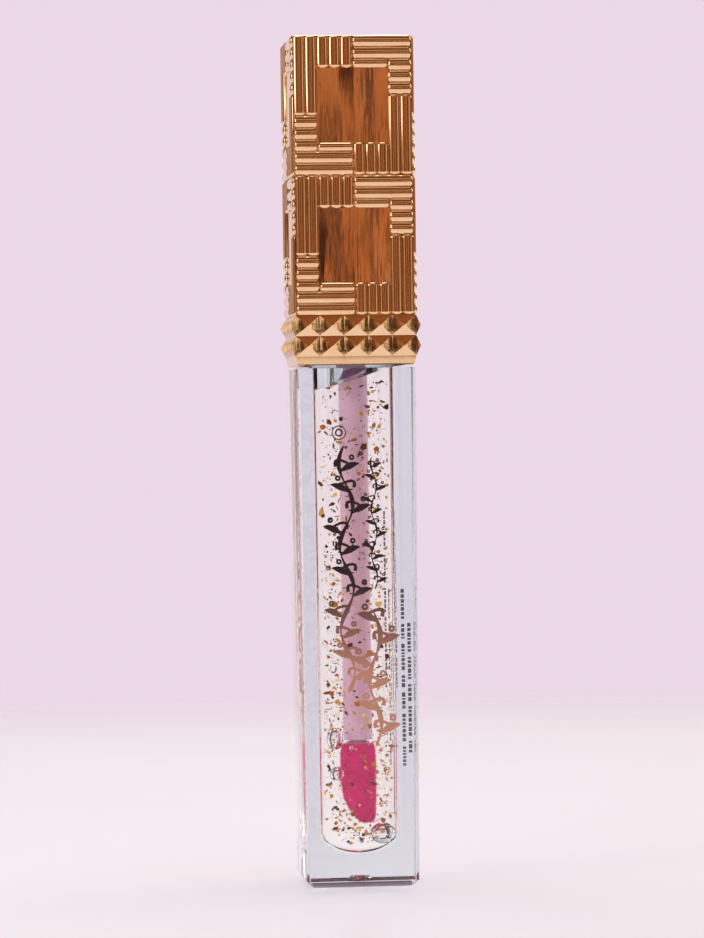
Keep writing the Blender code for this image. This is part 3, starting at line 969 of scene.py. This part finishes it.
@dataclass
class CapShell:
    """The plated shell: ribs round two panels a side, pyramids and a skirt."""

    top: float = 118.6 * MM
    low: float = 72.8 * MM
    half: float = 8.25 * MM
    band_half: float = 8.4 * MM
    skirt_half: float = 8.15 * MM
    cavity_half: float = 7.15 * MM
    cavity_top: float = 117.4 * MM
    pitch: float = 1.65 * MM
    rise: float = 0.42 * MM
    module: float = 19.45 * MM
    panel_inset: float = 4.57 * MM
    pyramid_tall: float = 2.84 * MM
    pyramid_rise: float = 0.88 * MM
    rows: int = 2
    across: int = 5
    edge: float = 0.16 * MM
    rib_end: float = 0.95 * MM
    crown: float = 0.10 * MM
    pyramid_edge: float = 0.035 * MM
    parts: list[bpy.types.Object] = field(default_factory=list)

    @property
    def band_top(self) -> float:
        """Height of the pyramid band's upper edge."""
        return self.top - 2 * self.module

    @property
    def band_low(self) -> float:
        """Height of the pyramid band's lower edge."""
        return self.band_top - self.rows * self.pyramid_tall

    def core(self) -> bpy.types.Object:
        """Model the shell under its ornament by insets and extrusions."""
        deselect_all()
        bpy.ops.mesh.primitive_cube_add(size=1.0, location=(
            0, 0, (self.band_top + self.band_low) / 2))
        obj = named("shell_core")
        bpy.ops.transform.resize(value=(2 * self.band_half, 2 * self.band_half,
                                        self.band_top - self.band_low))
        place_in_mesh(obj)
        edit(obj)
        pick(Pick.FACE, lambda c, f: c.z > self.band_top - 1e-5)
        bpy.ops.mesh.inset(thickness=self.band_half - self.half)
        bpy.ops.mesh.extrude_region_move(TRANSFORM_OT_translate={
            "value": (0, 0, self.top - self.band_top)})
        pick(Pick.FACE, lambda c, f: c.z < self.band_low + 1e-5)
        bpy.ops.mesh.extrude_region_move(TRANSFORM_OT_translate={
            "value": (0, 0, self.low - self.band_low)})
        shrink = self.skirt_half / self.band_half
        bpy.ops.transform.resize(value=(shrink, shrink, 1.0))
        bpy.ops.mesh.inset(thickness=self.skirt_half - self.cavity_half)
        bpy.ops.mesh.extrude_region_move(TRANSFORM_OT_translate={
            "value": (0, 0, self.cavity_top - self.low)})
        pick(Pick.EDGE, lambda c, e: (c.z > self.top - 1e-5)
             or (c.z < self.low + 1e-5 and max(abs(c.x), abs(c.y)) > self.cavity_half + 1e-4)
             or (abs(c.x) > self.half - 1e-4 and abs(c.y) > self.half - 1e-4
                 and c.z > self.band_top + 1e-4))
        bpy.ops.mesh.bevel(offset=self.edge, segments=3, affect="EDGES")
        return finish_edit(obj, 30.0)

    def rib(self, length: float, wide: float) -> bpy.types.Object:
        """Model one half-round rib along X with rounded ends.

        Args:
            length: The rib's length.
            wide: The rib's width.

        Returns:
            The rib, its back on the XZ plane and its crown towards -Y.
        """
        deselect_all()
        bpy.ops.mesh.primitive_uv_sphere_add(segments=20, ring_count=12, radius=0.5)
        obj = named("rib")
        edit(obj)
        bpy.ops.mesh.select_all(action="SELECT")
        bpy.ops.transform.rotate(value=math.pi / 2, orient_axis="Y",
                                 center_override=(0, 0, 0))
        end = min(self.rib_end, length * 0.5)
        bpy.ops.transform.resize(value=(end, 2 * self.rise, wide), center_override=(0, 0, 0))
        bpy.ops.mesh.select_all(action="SELECT")
        bpy.ops.mesh.bisect(plane_co=(0, 0.03 * MM, 0), plane_no=(0, 1, 0),
                            use_fill=True, clear_outer=True)
        bpy.ops.mesh.select_all(action="SELECT")
        bpy.ops.mesh.bisect(plane_co=(0, 0, 0), plane_no=(1, 0, 0))
        reach = (length - end) / 2
        pick(Pick.VERT, lambda c, v: c.x > 1e-7)
        bpy.ops.transform.translate(value=(reach, 0, 0))
        pick(Pick.VERT, lambda c, v: c.x < -1e-7)
        bpy.ops.transform.translate(value=(-reach, 0, 0))
        for side in (-1, 1):
            bpy.ops.mesh.select_all(action="SELECT")
            bpy.ops.mesh.bisect(plane_co=(side * (reach - 0.02 * MM), 0, 0),
                                plane_no=(1, 0, 0))
        return finish_edit(obj, 50.0)

    def tiles(self, top: float) -> list[tuple[float, float, float, float]]:
        """Return one pinwheel module's ribs as (x0, x1, z0, z1) tiles."""
        p, low, panel = self.pitch, top - self.module, top - self.panel_inset
        ribs = [(i * p, (i + 1) * p, low + 5 * p if i < 2 else panel, top)
                for i in range(5)]
        ribs += [((5 if i < 2 else 8) * p, 10 * p, top - (i + 1) * p, top - i * p)
                 for i in range(5)]
        ribs.append((5 * p, 8 * p, panel, top - 2 * p))
        return ribs + [(10 * p - x1, 10 * p - x0, low + top - z1, low + top - z0)
                       for x0, x1, z0, z1 in ribs]

    def face_places(self) -> dict[tuple[float, float], list[Matrix]]:
        """Return where each size of rib goes on the front face."""
        places: dict[tuple[float, float], list[Matrix]] = {}
        for row in range(2):
            for x0, x1, z0, z1 in self.tiles(self.top - row * self.module):
                wide, tall = x1 - x0, z1 - z0
                upright = tall > wide
                size = (round(max(wide, tall), 7), round(min(wide, tall), 7))
                turn = Matrix.Rotation(math.pi / 2, 4, "Y") if upright else Matrix()
                spot = Matrix.Translation(((x0 + x1) / 2 - self.half, -self.half,
                                           (z0 + z1) / 2))
                places.setdefault(size, []).append(spot @ turn)
        return places

    def panel(self) -> bpy.types.Object:
        """Model one mirror panel with a slightly crowned face."""
        tall = self.module - 2 * self.panel_inset
        deselect_all()
        bpy.ops.mesh.primitive_grid_add(x_subdivisions=24, y_subdivisions=12, size=1.0)
        obj = named("panel")
        edit(obj)
        bpy.ops.mesh.select_all(action="SELECT")
        bpy.ops.transform.rotate(value=-math.pi / 2, orient_axis="X",
                                 center_override=(0, 0, 0))
        bpy.ops.transform.resize(value=(6 * self.pitch, 1.0, tall), center_override=(0, 0, 0))
        bpy.ops.mesh.extrude_region_move(TRANSFORM_OT_translate={"value": (0, 0.06 * MM, 0)})
        finish_edit(obj, 30.0)
        for vert in obj.data.vertices:
            if vert.co.y < 0.03 * MM:
                across = vert.co.x / (3 * self.pitch)
                upward = vert.co.z / (tall / 2)
                swell = (1 - across ** 2) * (1 - 0.25 * upward ** 2)
                vert.co.y -= 0.01 * MM + self.crown * swell
        return obj

    def pyramid(self) -> bpy.types.Object:
        """Model one pyramid with slightly eased edges, its base on the XZ plane."""
        wide = 2 * self.band_half / self.across
        deselect_all()
        bpy.ops.mesh.primitive_cone_add(vertices=4, radius1=math.sqrt(0.5), depth=1.0,
                                        location=(0, 0, 0.5))
        obj = named("pyramid")
        place_in_mesh(obj)
        edit(obj)
        bpy.ops.mesh.select_all(action="SELECT")
        bpy.ops.transform.rotate(value=math.pi / 4, orient_axis="Z",
                                 center_override=(0, 0, 0))
        bpy.ops.transform.rotate(value=math.pi / 2, orient_axis="X",
                                 center_override=(0, 0, 0))
        low = min(v.co.y for v in bmesh.from_edit_mesh(obj.data).verts)
        if low > -0.5:
            bpy.ops.transform.rotate(value=math.pi, orient_axis="X",
                                     center_override=(0, 0, 0))
        bpy.ops.transform.resize(value=(wide, self.pyramid_rise, self.pyramid_tall),
                                 center_override=(0, 0, 0))
        pick(Pick.EDGE, lambda c, e: abs(e.verts[0].co.y - e.verts[1].co.y) > 0.1 * MM)
        bpy.ops.mesh.bevel(offset=self.pyramid_edge, segments=2, affect="EDGES")
        return finish_edit(obj, 20.0)

    def build(self) -> bpy.types.Object:
        """Model the shell and join its ornament on."""
        self.parts.append(self.core())
        around = [Matrix.Rotation(math.pi / 2 * k, 4, "Z") for k in range(4)]
        for (length, wide), places in self.face_places().items():
            rib = self.rib(length, wide)
            self.parts.append(copies(rib, [a @ p for a in around for p in places], "ribs"))
        spots = [Matrix.Translation((0, -self.half,
                                     self.top - self.module * (row + 0.5)))
                 for row in range(2)]
        self.parts.append(copies(self.panel(), [a @ s for a in around for s in spots],
                                 "panels"))
        wide = 2 * self.band_half / self.across
        spots = [Matrix.Translation(((col + 0.5) * wide - self.band_half, -self.band_half,
                                     self.band_top - (row + 0.5) * self.pyramid_tall))
                 for row in range(self.rows) for col in range(self.across)]
        self.parts.append(copies(self.pyramid(), [a @ s for a in around for s in spots],
                                 "pyramids"))
        shell = join_all("cap_shell_plated", self.parts)
        shell.data.materials.clear()
        shell.data.materials.append(RoseGoldPlate().make())
        return shell


# ------------------------------------------------------------------- print


class Face(Enum):
    """Which side of the bottle a print lies on, by its sign along Y."""

    FRONT = -1
    BACK = 1


@dataclass
class Stroke:
    """One swelling brush stroke."""

    points: list[tuple[float, float]]
    widths: list[float]


@dataclass
class Print:
    """Generic climbing-vine ornament in front and plain dashes behind."""

    bottle: Bottle
    relief: float = 0.018 * MM
    seed: int = 5

    def vine(self, middle: float, low: float, top: float, sway: float, pen: float,
             leaf: float, step: float) -> list[Stroke]:
        """Return the strokes of one climbing vine, in millimetres.

        Args:
            middle: The vine's middle in X.
            low: The vine's foot.
            top: The vine's head.
            sway: How far the stem sways to each side.
            pen: The stem's half width.
            leaf: The leaves' half width.
            step: Height between leaves.

        Returns:
            The stem, its leaves, their curls and its berries.
        """
        wave = math.tau / (4 * step)
        count = int((top - low) / 0.5)
        stem = [(middle + sway * math.sin(wave * (top - low) * k / count),
                 low + (top - low) * k / count) for k in range(count + 1)]
        swell = [pen * (0.75 + 0.35 * math.sin(2.2 * wave * z)) for _, z in stem]
        swell[0] = swell[-1] = pen * 0.2
        strokes = [Stroke(stem, swell)]
        side = 1
        height = low + step * 0.6
        while height < top - step * 0.4:
            foot = middle + sway * math.sin(wave * (height - low))
            reach = side * (0.92 * step)
            path = [(foot + reach * t, height + step * (0.75 * t - 0.35 * t * t))
                    for t in (k / 8 for k in range(9))]
            strokes.append(Stroke(path, [leaf * max(0.12, math.sin(math.pi * k / 8) ** 0.8)
                                         for k in range(9)]))
            curl = [(foot - side * (0.2 + 0.075 * k) * step * math.cos(0.45 * k)
                     * (1 - 0.035 * k),
                     height + step * (0.25 + (0.42 - 0.03 * k) * math.sin(0.45 * k)))
                    for k in range(12)]
            strokes.append(Stroke(curl, [pen * (0.85 - 0.05 * k) for k in range(12)]))
            tip_x, tip_z = path[-1]
            strokes.append(self.ring(tip_x - side * 0.35 * step, tip_z + step * 0.3,
                                     leaf * 0.5, pen * 0.5))
            side, height = -side, height + step
        return strokes

    @staticmethod
    def ring(x: float, z: float, radius: float, pen: float) -> Stroke:
        """Return one small closed ring."""
        loop = [(x + radius * math.cos(math.tau * k / 16),
                 z + radius * math.sin(math.tau * k / 16)) for k in range(17)]
        return Stroke(loop, [pen] * 17)

    def draw(self, name: str, strokes: list[Stroke], face: Face) -> bpy.types.Object:
        """Draw the strokes as thin raised ink that follows the sloping wall.

        Args:
            name: The new piece's name.
            strokes: The strokes, in millimetres.
            face: The side that they lie on.

        Returns:
            The printed piece.
        """
        line = bpy.data.curves.new(name, "CURVE")
        line.dimensions = "3D"
        line.bevel_depth, line.bevel_resolution = MM, 1
        line.use_fill_caps = True
        for stroke in strokes:
            path = line.splines.new("POLY")
            path.points.add(len(stroke.points) - 1)
            for point, (x, z), width in zip(path.points, stroke.points, stroke.widths):
                point.co = (x * MM, 0.0, z * MM, 1.0)
                point.radius = width
        ink = bpy.data.objects.new(name, line)
        bpy.context.collection.objects.link(ink)
        activate(ink)
        bpy.ops.object.convert(target="MESH")
        ink = named(name)
        widest = max(abs(v.co.y) for v in ink.data.vertices)
        for vert in ink.data.vertices:
            lift = self.relief * vert.co.y / widest
            vert.co.y = face.value * self.bottle.half_at(vert.co.z) + lift
        ink.data.materials.clear()
        return finish_edit(ink, 30.0)

    def front(self) -> bpy.types.Object:
        """Print the two vines on the front."""
        strokes = self.vine(-1.75, 27.2, 61.6, 0.95, 0.34, 0.52, 2.9)
        strokes += self.vine(2.15, 41.5, 60.0, 0.4, 0.17, 0.30, 1.6)
        strokes += self.vine(2.0, 19.6, 38.4, 0.8, 0.40, 0.62, 3.1)
        strokes.append(self.ring(-2.6, 63.4, 0.95, 0.09))
        strokes.append(self.ring(-2.6, 63.4, 0.45, 0.13))
        ink = self.draw("print_front", strokes, Face.FRONT)
        ink.data.materials.append(PrintInk().make())
        return ink

    def back(self) -> bpy.types.Object:
        """Print plain dashes where small print would be."""
        chance = random.Random(self.seed)
        strokes = []
        for x, low, top in ((5.55, 27.0, 51.5), (6.55, 16.2, 40.5), (7.35, 18.0, 36.0)):
            z = low
            while z < top:
                for _ in range(chance.randrange(3, 9)):
                    tall = chance.uniform(0.22, 0.62)
                    strokes.append(Stroke([(x, z), (x, z + tall)], [0.22, 0.22]))
                    z += tall + 0.16
                z += 0.55
        ink = self.draw("print_back", strokes, Face.BACK)
        ink.data.materials.append(Solid(
            "grey_small_print", (0.16, 0.14, 0.17), (0.22, 0.20, 0.23), (0.5, 0.7),
            depth=0.000002).make())
        return ink


# ------------------------------------------------------------------ studio


@dataclass
class Studio:
    """The pale floor, the soft lights and the surroundings that the plating mirrors."""

    floor_r: float = 0.42
    ambient: float = 0.62
    backdrop: tuple[float, float, float] = (0.84, 0.69, 0.80)
    table: tuple[float, float, float] = (0.90, 0.87, 0.90)
    camera_turn: tuple[float, float, float] = (5.781, -0.49, -0.835)
    camera_far: float = 0.5525
    camera_height: float = 0.06298
    camera_lens: float = 150.3
    # Ramps of (position, colour) for what the plating and the clear block see.
    streaks: Stops = field(default_factory=lambda: [
        (0.0, (0.02, 0.008, 0.008)), (0.22, (0.12, 0.05, 0.035)), (0.33, (0.85, 0.32, 0.12)),
        (0.43, (0.55, 0.20, 0.08)), (0.47, (0.03, 0.012, 0.01)), (0.51, (0.95, 0.46, 0.22)),
        (0.60, (0.45, 0.19, 0.09)), (0.67, (0.05, 0.028, 0.03)), (1.0, (0.12, 0.06, 0.05))])
    walls: Stops = field(default_factory=lambda: [
        (0.0, (1.1, 0.95, 0.8)), (0.02, (0.9, 0.7, 0.5)), (0.035, (0.03, 0.012, 0.01)),
        (0.07, (0.10, 0.04, 0.02)), (0.13, (0.58, 0.25, 0.11)), (0.22, (0.03, 0.012, 0.01)),
        (0.36, (0.50, 0.22, 0.10)), (0.44, (0.03, 0.012, 0.01)), (0.62, (0.10, 0.04, 0.02)),
        (0.8, (0.50, 0.21, 0.09))])
    band_share: Stops = field(default_factory=lambda: [
        (0.40, (1, 1, 1)), (0.44, (0, 0, 0)), (0.61, (0, 0, 0)), (0.64, (1, 1, 1))])
    heights: Stops = field(default_factory=lambda: [
        (0.0, (1.0, 0.98, 0.98)), (0.40, (1.0, 0.95, 0.93)), (0.44, (0.5, 0.3, 0.2)),
        (0.62, (0.42, 0.18, 0.08)), (0.70, (0.05, 0.02, 0.01)), (0.735, (0.95, 0.75, 0.55)),
        (0.76, (0.6, 0.36, 0.2)), (0.79, (0.03, 0.012, 0.01)), (0.88, (0.30, 0.12, 0.05)),
        (0.93, (0.16, 0.06, 0.03)), (0.96, (0.05, 0.02, 0.012)), (0.985, (1.2, 1.2, 1.2))])
    through: Stops = field(default_factory=lambda: [
        (0.0, (0.8, 0.7, 0.76)), (0.30, (0.86, 0.74, 0.83)), (0.66, (0.86, 0.72, 0.83)),
        (0.70, (0.12, 0.045, 0.065)), (0.80, (0.30, 0.22, 0.27)), (0.92, (0.9, 0.82, 0.88))])
    corner_share: Stops = field(default_factory=lambda: [
        (0.02, (1, 1, 1)), (0.09, (0, 0, 0))])

    def floor(self) -> bpy.types.Object:
        """Lay the round floor, which fades into the backdrop at its rim."""
        deselect_all()
        bpy.ops.mesh.primitive_circle_add(vertices=96, radius=self.floor_r,
                                          fill_type="NGON", location=(0, 0, -0.00005))
        floor = named("floor")
        place_in_mesh(floor)
        graph = Graph(bpy.data.materials.new("pale_table_top"))
        place = graph.coords()
        tone = graph.ramp(graph.noise(place, 9.0), [
            (0.3, self.table), (0.7, tuple(c * 1.03 for c in self.table))])
        shader = graph.add("ShaderNodeBsdfPrincipled", {
            "Base Color": tone, "Roughness": 0.35, "Specular IOR Level": 0.3,
            "Normal": graph.bump(graph.noise(place, 700.0), 0.00001)})
        clear = graph.add("ShaderNodeBsdfTransparent")
        reach = graph.add("ShaderNodeVectorMath", {0: place}, operation="LENGTH")
        fade = graph.add("ShaderNodeMapRange", {
            "Value": reach.outputs["Value"], "From Min": self.floor_r * 0.62,
            "From Max": self.floor_r * 0.99}, interpolation_type="SMOOTHSTEP").outputs[0]
        floor.data.materials.append(graph.done(
            graph.shaders(fade, shader.outputs[0], clear.outputs[0])))
        return floor

    def lamp(self, name: str, place: tuple[float, float, float], size: float,
             power: float, tint: tuple[float, float, float] = (1, 1, 1)) -> None:
        """Hang one soft square lamp that looks at the tube's middle.

        Args:
            name: The lamp's name.
            place: Where it hangs, in metres.
            size: Its side, in metres.
            power: Its power, in watts.
            tint: Its colour.
        """
        data = bpy.data.lights.new(name, "AREA")
        data.energy, data.size, data.color = power, size, tint
        data.shape = "SQUARE"
        lamp = bpy.data.objects.new(name, data)
        bpy.context.collection.objects.link(lamp)
        lamp.location = place
        way = Vector((0, 0, 0.06)) - Vector(place)
        lamp.rotation_euler = way.to_track_quat("-Z", "Y").to_euler()

    def surroundings(self) -> None:
        """Build the world: a plain backdrop, and a warm dim room in reflections."""
        world = bpy.data.worlds.new("studio")
        bpy.context.scene.world = world
        graph = Graph(world, "ShaderNodeOutputWorld")
        way = graph.add("ShaderNodeTexCoord").outputs["Generated"]
        axes = graph.add("ShaderNodeSeparateXYZ", {0: way})
        height = axes.outputs["Z"]
        level = graph.add("ShaderNodeMapRange", {"Value": height, "From Min": -1.0}).outputs[0]
        turn = graph.math("ARCTAN2", axes.outputs["Y"], axes.outputs["X"])
        facing = graph.add("ShaderNodeMapRange", {
            "Value": graph.math("COSINE", graph.math("MULTIPLY", turn, 4.0)),
            "From Min": -1.0}).outputs[0]
        quarter = graph.math("WRAP", turn, math.pi / 4, -math.pi / 4)
        cell = graph.add("ShaderNodeCombineXYZ", {"X": quarter, "Y": graph.math(
            "MULTIPLY", height, 0.22)}).outputs[0]
        streak = graph.add("ShaderNodeTexNoise", {"Vector": cell, "Scale": 24.0,
                                                  "Detail": 4.0}).outputs[0]
        spread = graph.add("ShaderNodeMapRange", {
            "Value": streak, "From Min": 0.40, "From Max": 0.60}).outputs[0]
        front = graph.ramp(spread, self.streaks)
        side = graph.ramp(graph.math("ADD", facing, graph.math(
            "MULTIPLY_ADD", streak, 0.16, -0.08)), self.walls)
        near_axis = graph.add("ShaderNodeMapRange", {
            "Value": facing, "From Min": 0.72, "From Max": 0.9}).outputs[0]
        band = graph.mix(near_axis, side, front)
        room = graph.mix(graph.ramp(level, self.band_share), band,
                         graph.ramp(level, self.heights))
        behind = graph.add("ShaderNodeMapRange", {
            "Value": axes.outputs["Y"], "From Min": 0.93, "From Max": 0.985}).outputs[0]
        room = graph.mix(behind, room, (0.80, 0.66, 0.68, 1.0))
        through = graph.mix(graph.ramp(facing, self.corner_share), graph.ramp(
            level, self.through), (0.22, 0.15, 0.19, 1.0))
        ray = graph.add("ShaderNodeLightPath")
        plain = graph.add("ShaderNodeBackground", {"Color": (*self.backdrop, 1.0)})
        soft = graph.add("ShaderNodeBackground", {"Color": (0.96, 0.90, 0.95, 1.0),
                                                  "Strength": self.ambient})
        mirror = graph.add("ShaderNodeBackground", {"Color": room})
        glass = graph.add("ShaderNodeBackground", {"Color": through})
        lit = graph.shaders(ray.outputs["Is Glossy Ray"], soft.outputs[0], mirror.outputs[0])
        lit = graph.shaders(ray.outputs["Is Transmission Ray"], lit, glass.outputs[0])
        lit = graph.shaders(ray.outputs["Is Camera Ray"], lit, plain.outputs[0])
        graph.done(lit)

    def camera(self) -> bpy.types.Object:
        """Place the camera square on, a little left of the front."""
        yaw, pitch, roll = (math.radians(a) for a in self.camera_turn)
        far, height = self.camera_far, self.camera_height
        data = bpy.data.cameras.new("camera")
        data.lens = self.camera_lens
        data.clip_start, data.clip_end = 0.01, 10.0
        camera = bpy.data.objects.new("camera", data)
        bpy.context.collection.objects.link(camera)
        level = Vector((math.sin(yaw), math.cos(yaw), 0.0))
        across = Vector((math.cos(yaw), -math.sin(yaw), 0.0))
        ahead = level * math.cos(pitch) + Vector((0, 0, math.sin(pitch)))
        upward = Vector((0, 0, math.cos(pitch))) - level * math.sin(pitch)
        right = across * math.cos(roll) + upward * math.sin(roll)
        top = upward * math.cos(roll) - across * math.sin(roll)
        turn = Matrix((right, top, -ahead)).transposed().to_4x4()
        spot = Matrix.Translation((-math.sin(yaw) * far, -math.cos(yaw) * far, height))
        camera.matrix_world = spot @ turn
        bpy.context.scene.camera = camera
        return camera

    def build(self) -> None:
        """Set up the floor, lamps, surroundings and camera."""
        bpy.context.scene.view_settings.view_transform = "Standard"
        self.camera()
        self.floor()
        self.surroundings()
        self.lamp("top_lamp", (0.0, 0.12, 0.62), 0.45, 1.9)
        self.lamp("left_lamp", (-0.55, -0.30, 0.30), 0.30, 0.8, (1.0, 0.96, 0.94))
        self.lamp("right_lamp", (0.55, 0.25, 0.35), 0.30, 0.8, (1.0, 0.95, 0.98))


# -------------------------------------------------------------------- main


def place(piece: bpy.types.Object, body: str, slot: str, *nodes: str) -> None:
    """Hand a finished piece to its body and hide the CAD nodes that it stands for.

    Args:
        piece: The finished piece.
        body: The body that it moves with.
        slot: Not used.
        *nodes: The CAD nodes that it stands for.
    """
    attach(piece, body)
    if nodes:
        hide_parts(*nodes)
    LOG.info("%s on %s: %d faces", piece.name, body, len(piece.data.polygons))


def dress(node: str, finish: Solid) -> None:
    """Give a shown CAD node its finish."""
    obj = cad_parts[node]
    material = finish.make()
    for holder in obj.material_slots:
        holder.material = material
    LOG.info("%s keeps its CAD shape", node)


def main() -> None:
    """Build the studio and every sub-assembly in order."""
    logging.basicConfig(level=logging.INFO, format="%(name)s: %(message)s")
    deselect_all()
    Studio().build()

    bottle = Bottle()
    place(bottle.build(), "bottle", "clear_copolyester", "bottle")
    ink = Print(bottle)
    place(ink.front(), "bottle", "clear_copolyester")
    place(ink.back(), "bottle", "clear_copolyester")

    gloss = Gloss(bottle)
    place(gloss.fill(), "gloss", "gloss_gel", "gloss_fill")
    place(gloss.scatter(), "gloss", "gloss_gel")
    place(gloss.air(), "gloss", "gloss_gel")
    place(gloss.film(), "film", "gloss_coat", "gloss_film")

    wand = Wand()
    place(wand.stem(), "closure", "pink_stem", "stem")
    place(wand.tip(), "closure", "magenta_flock", "flocking")
    place(CapShell().build(), "closure", "rose_gold_plate", "cap_shell")

    dress("wiper", Solid("soft_polyethylene_finish", (0.80, 0.78, 0.79), (0.86, 0.84, 0.85),
                         (0.35, 0.5), subsurface=0.3))
    dress("seal_washer", Solid("foam_washer_finish", (0.84, 0.83, 0.82), (0.90, 0.89, 0.88),
                               (0.8, 0.95), grain=5000.0, depth=0.00004))
    dress("inner_cap", Solid("natural_polypropylene_finish", (0.78, 0.76, 0.76),
                             (0.84, 0.82, 0.82), (0.3, 0.45), subsurface=0.3))
    dress("tip_core", Solid("pink_elastomer_finish", (0.72, 0.16, 0.36), (0.80, 0.24, 0.44),
                            (0.4, 0.55), subsurface=0.3))


if __name__ == "__main__":
    main()
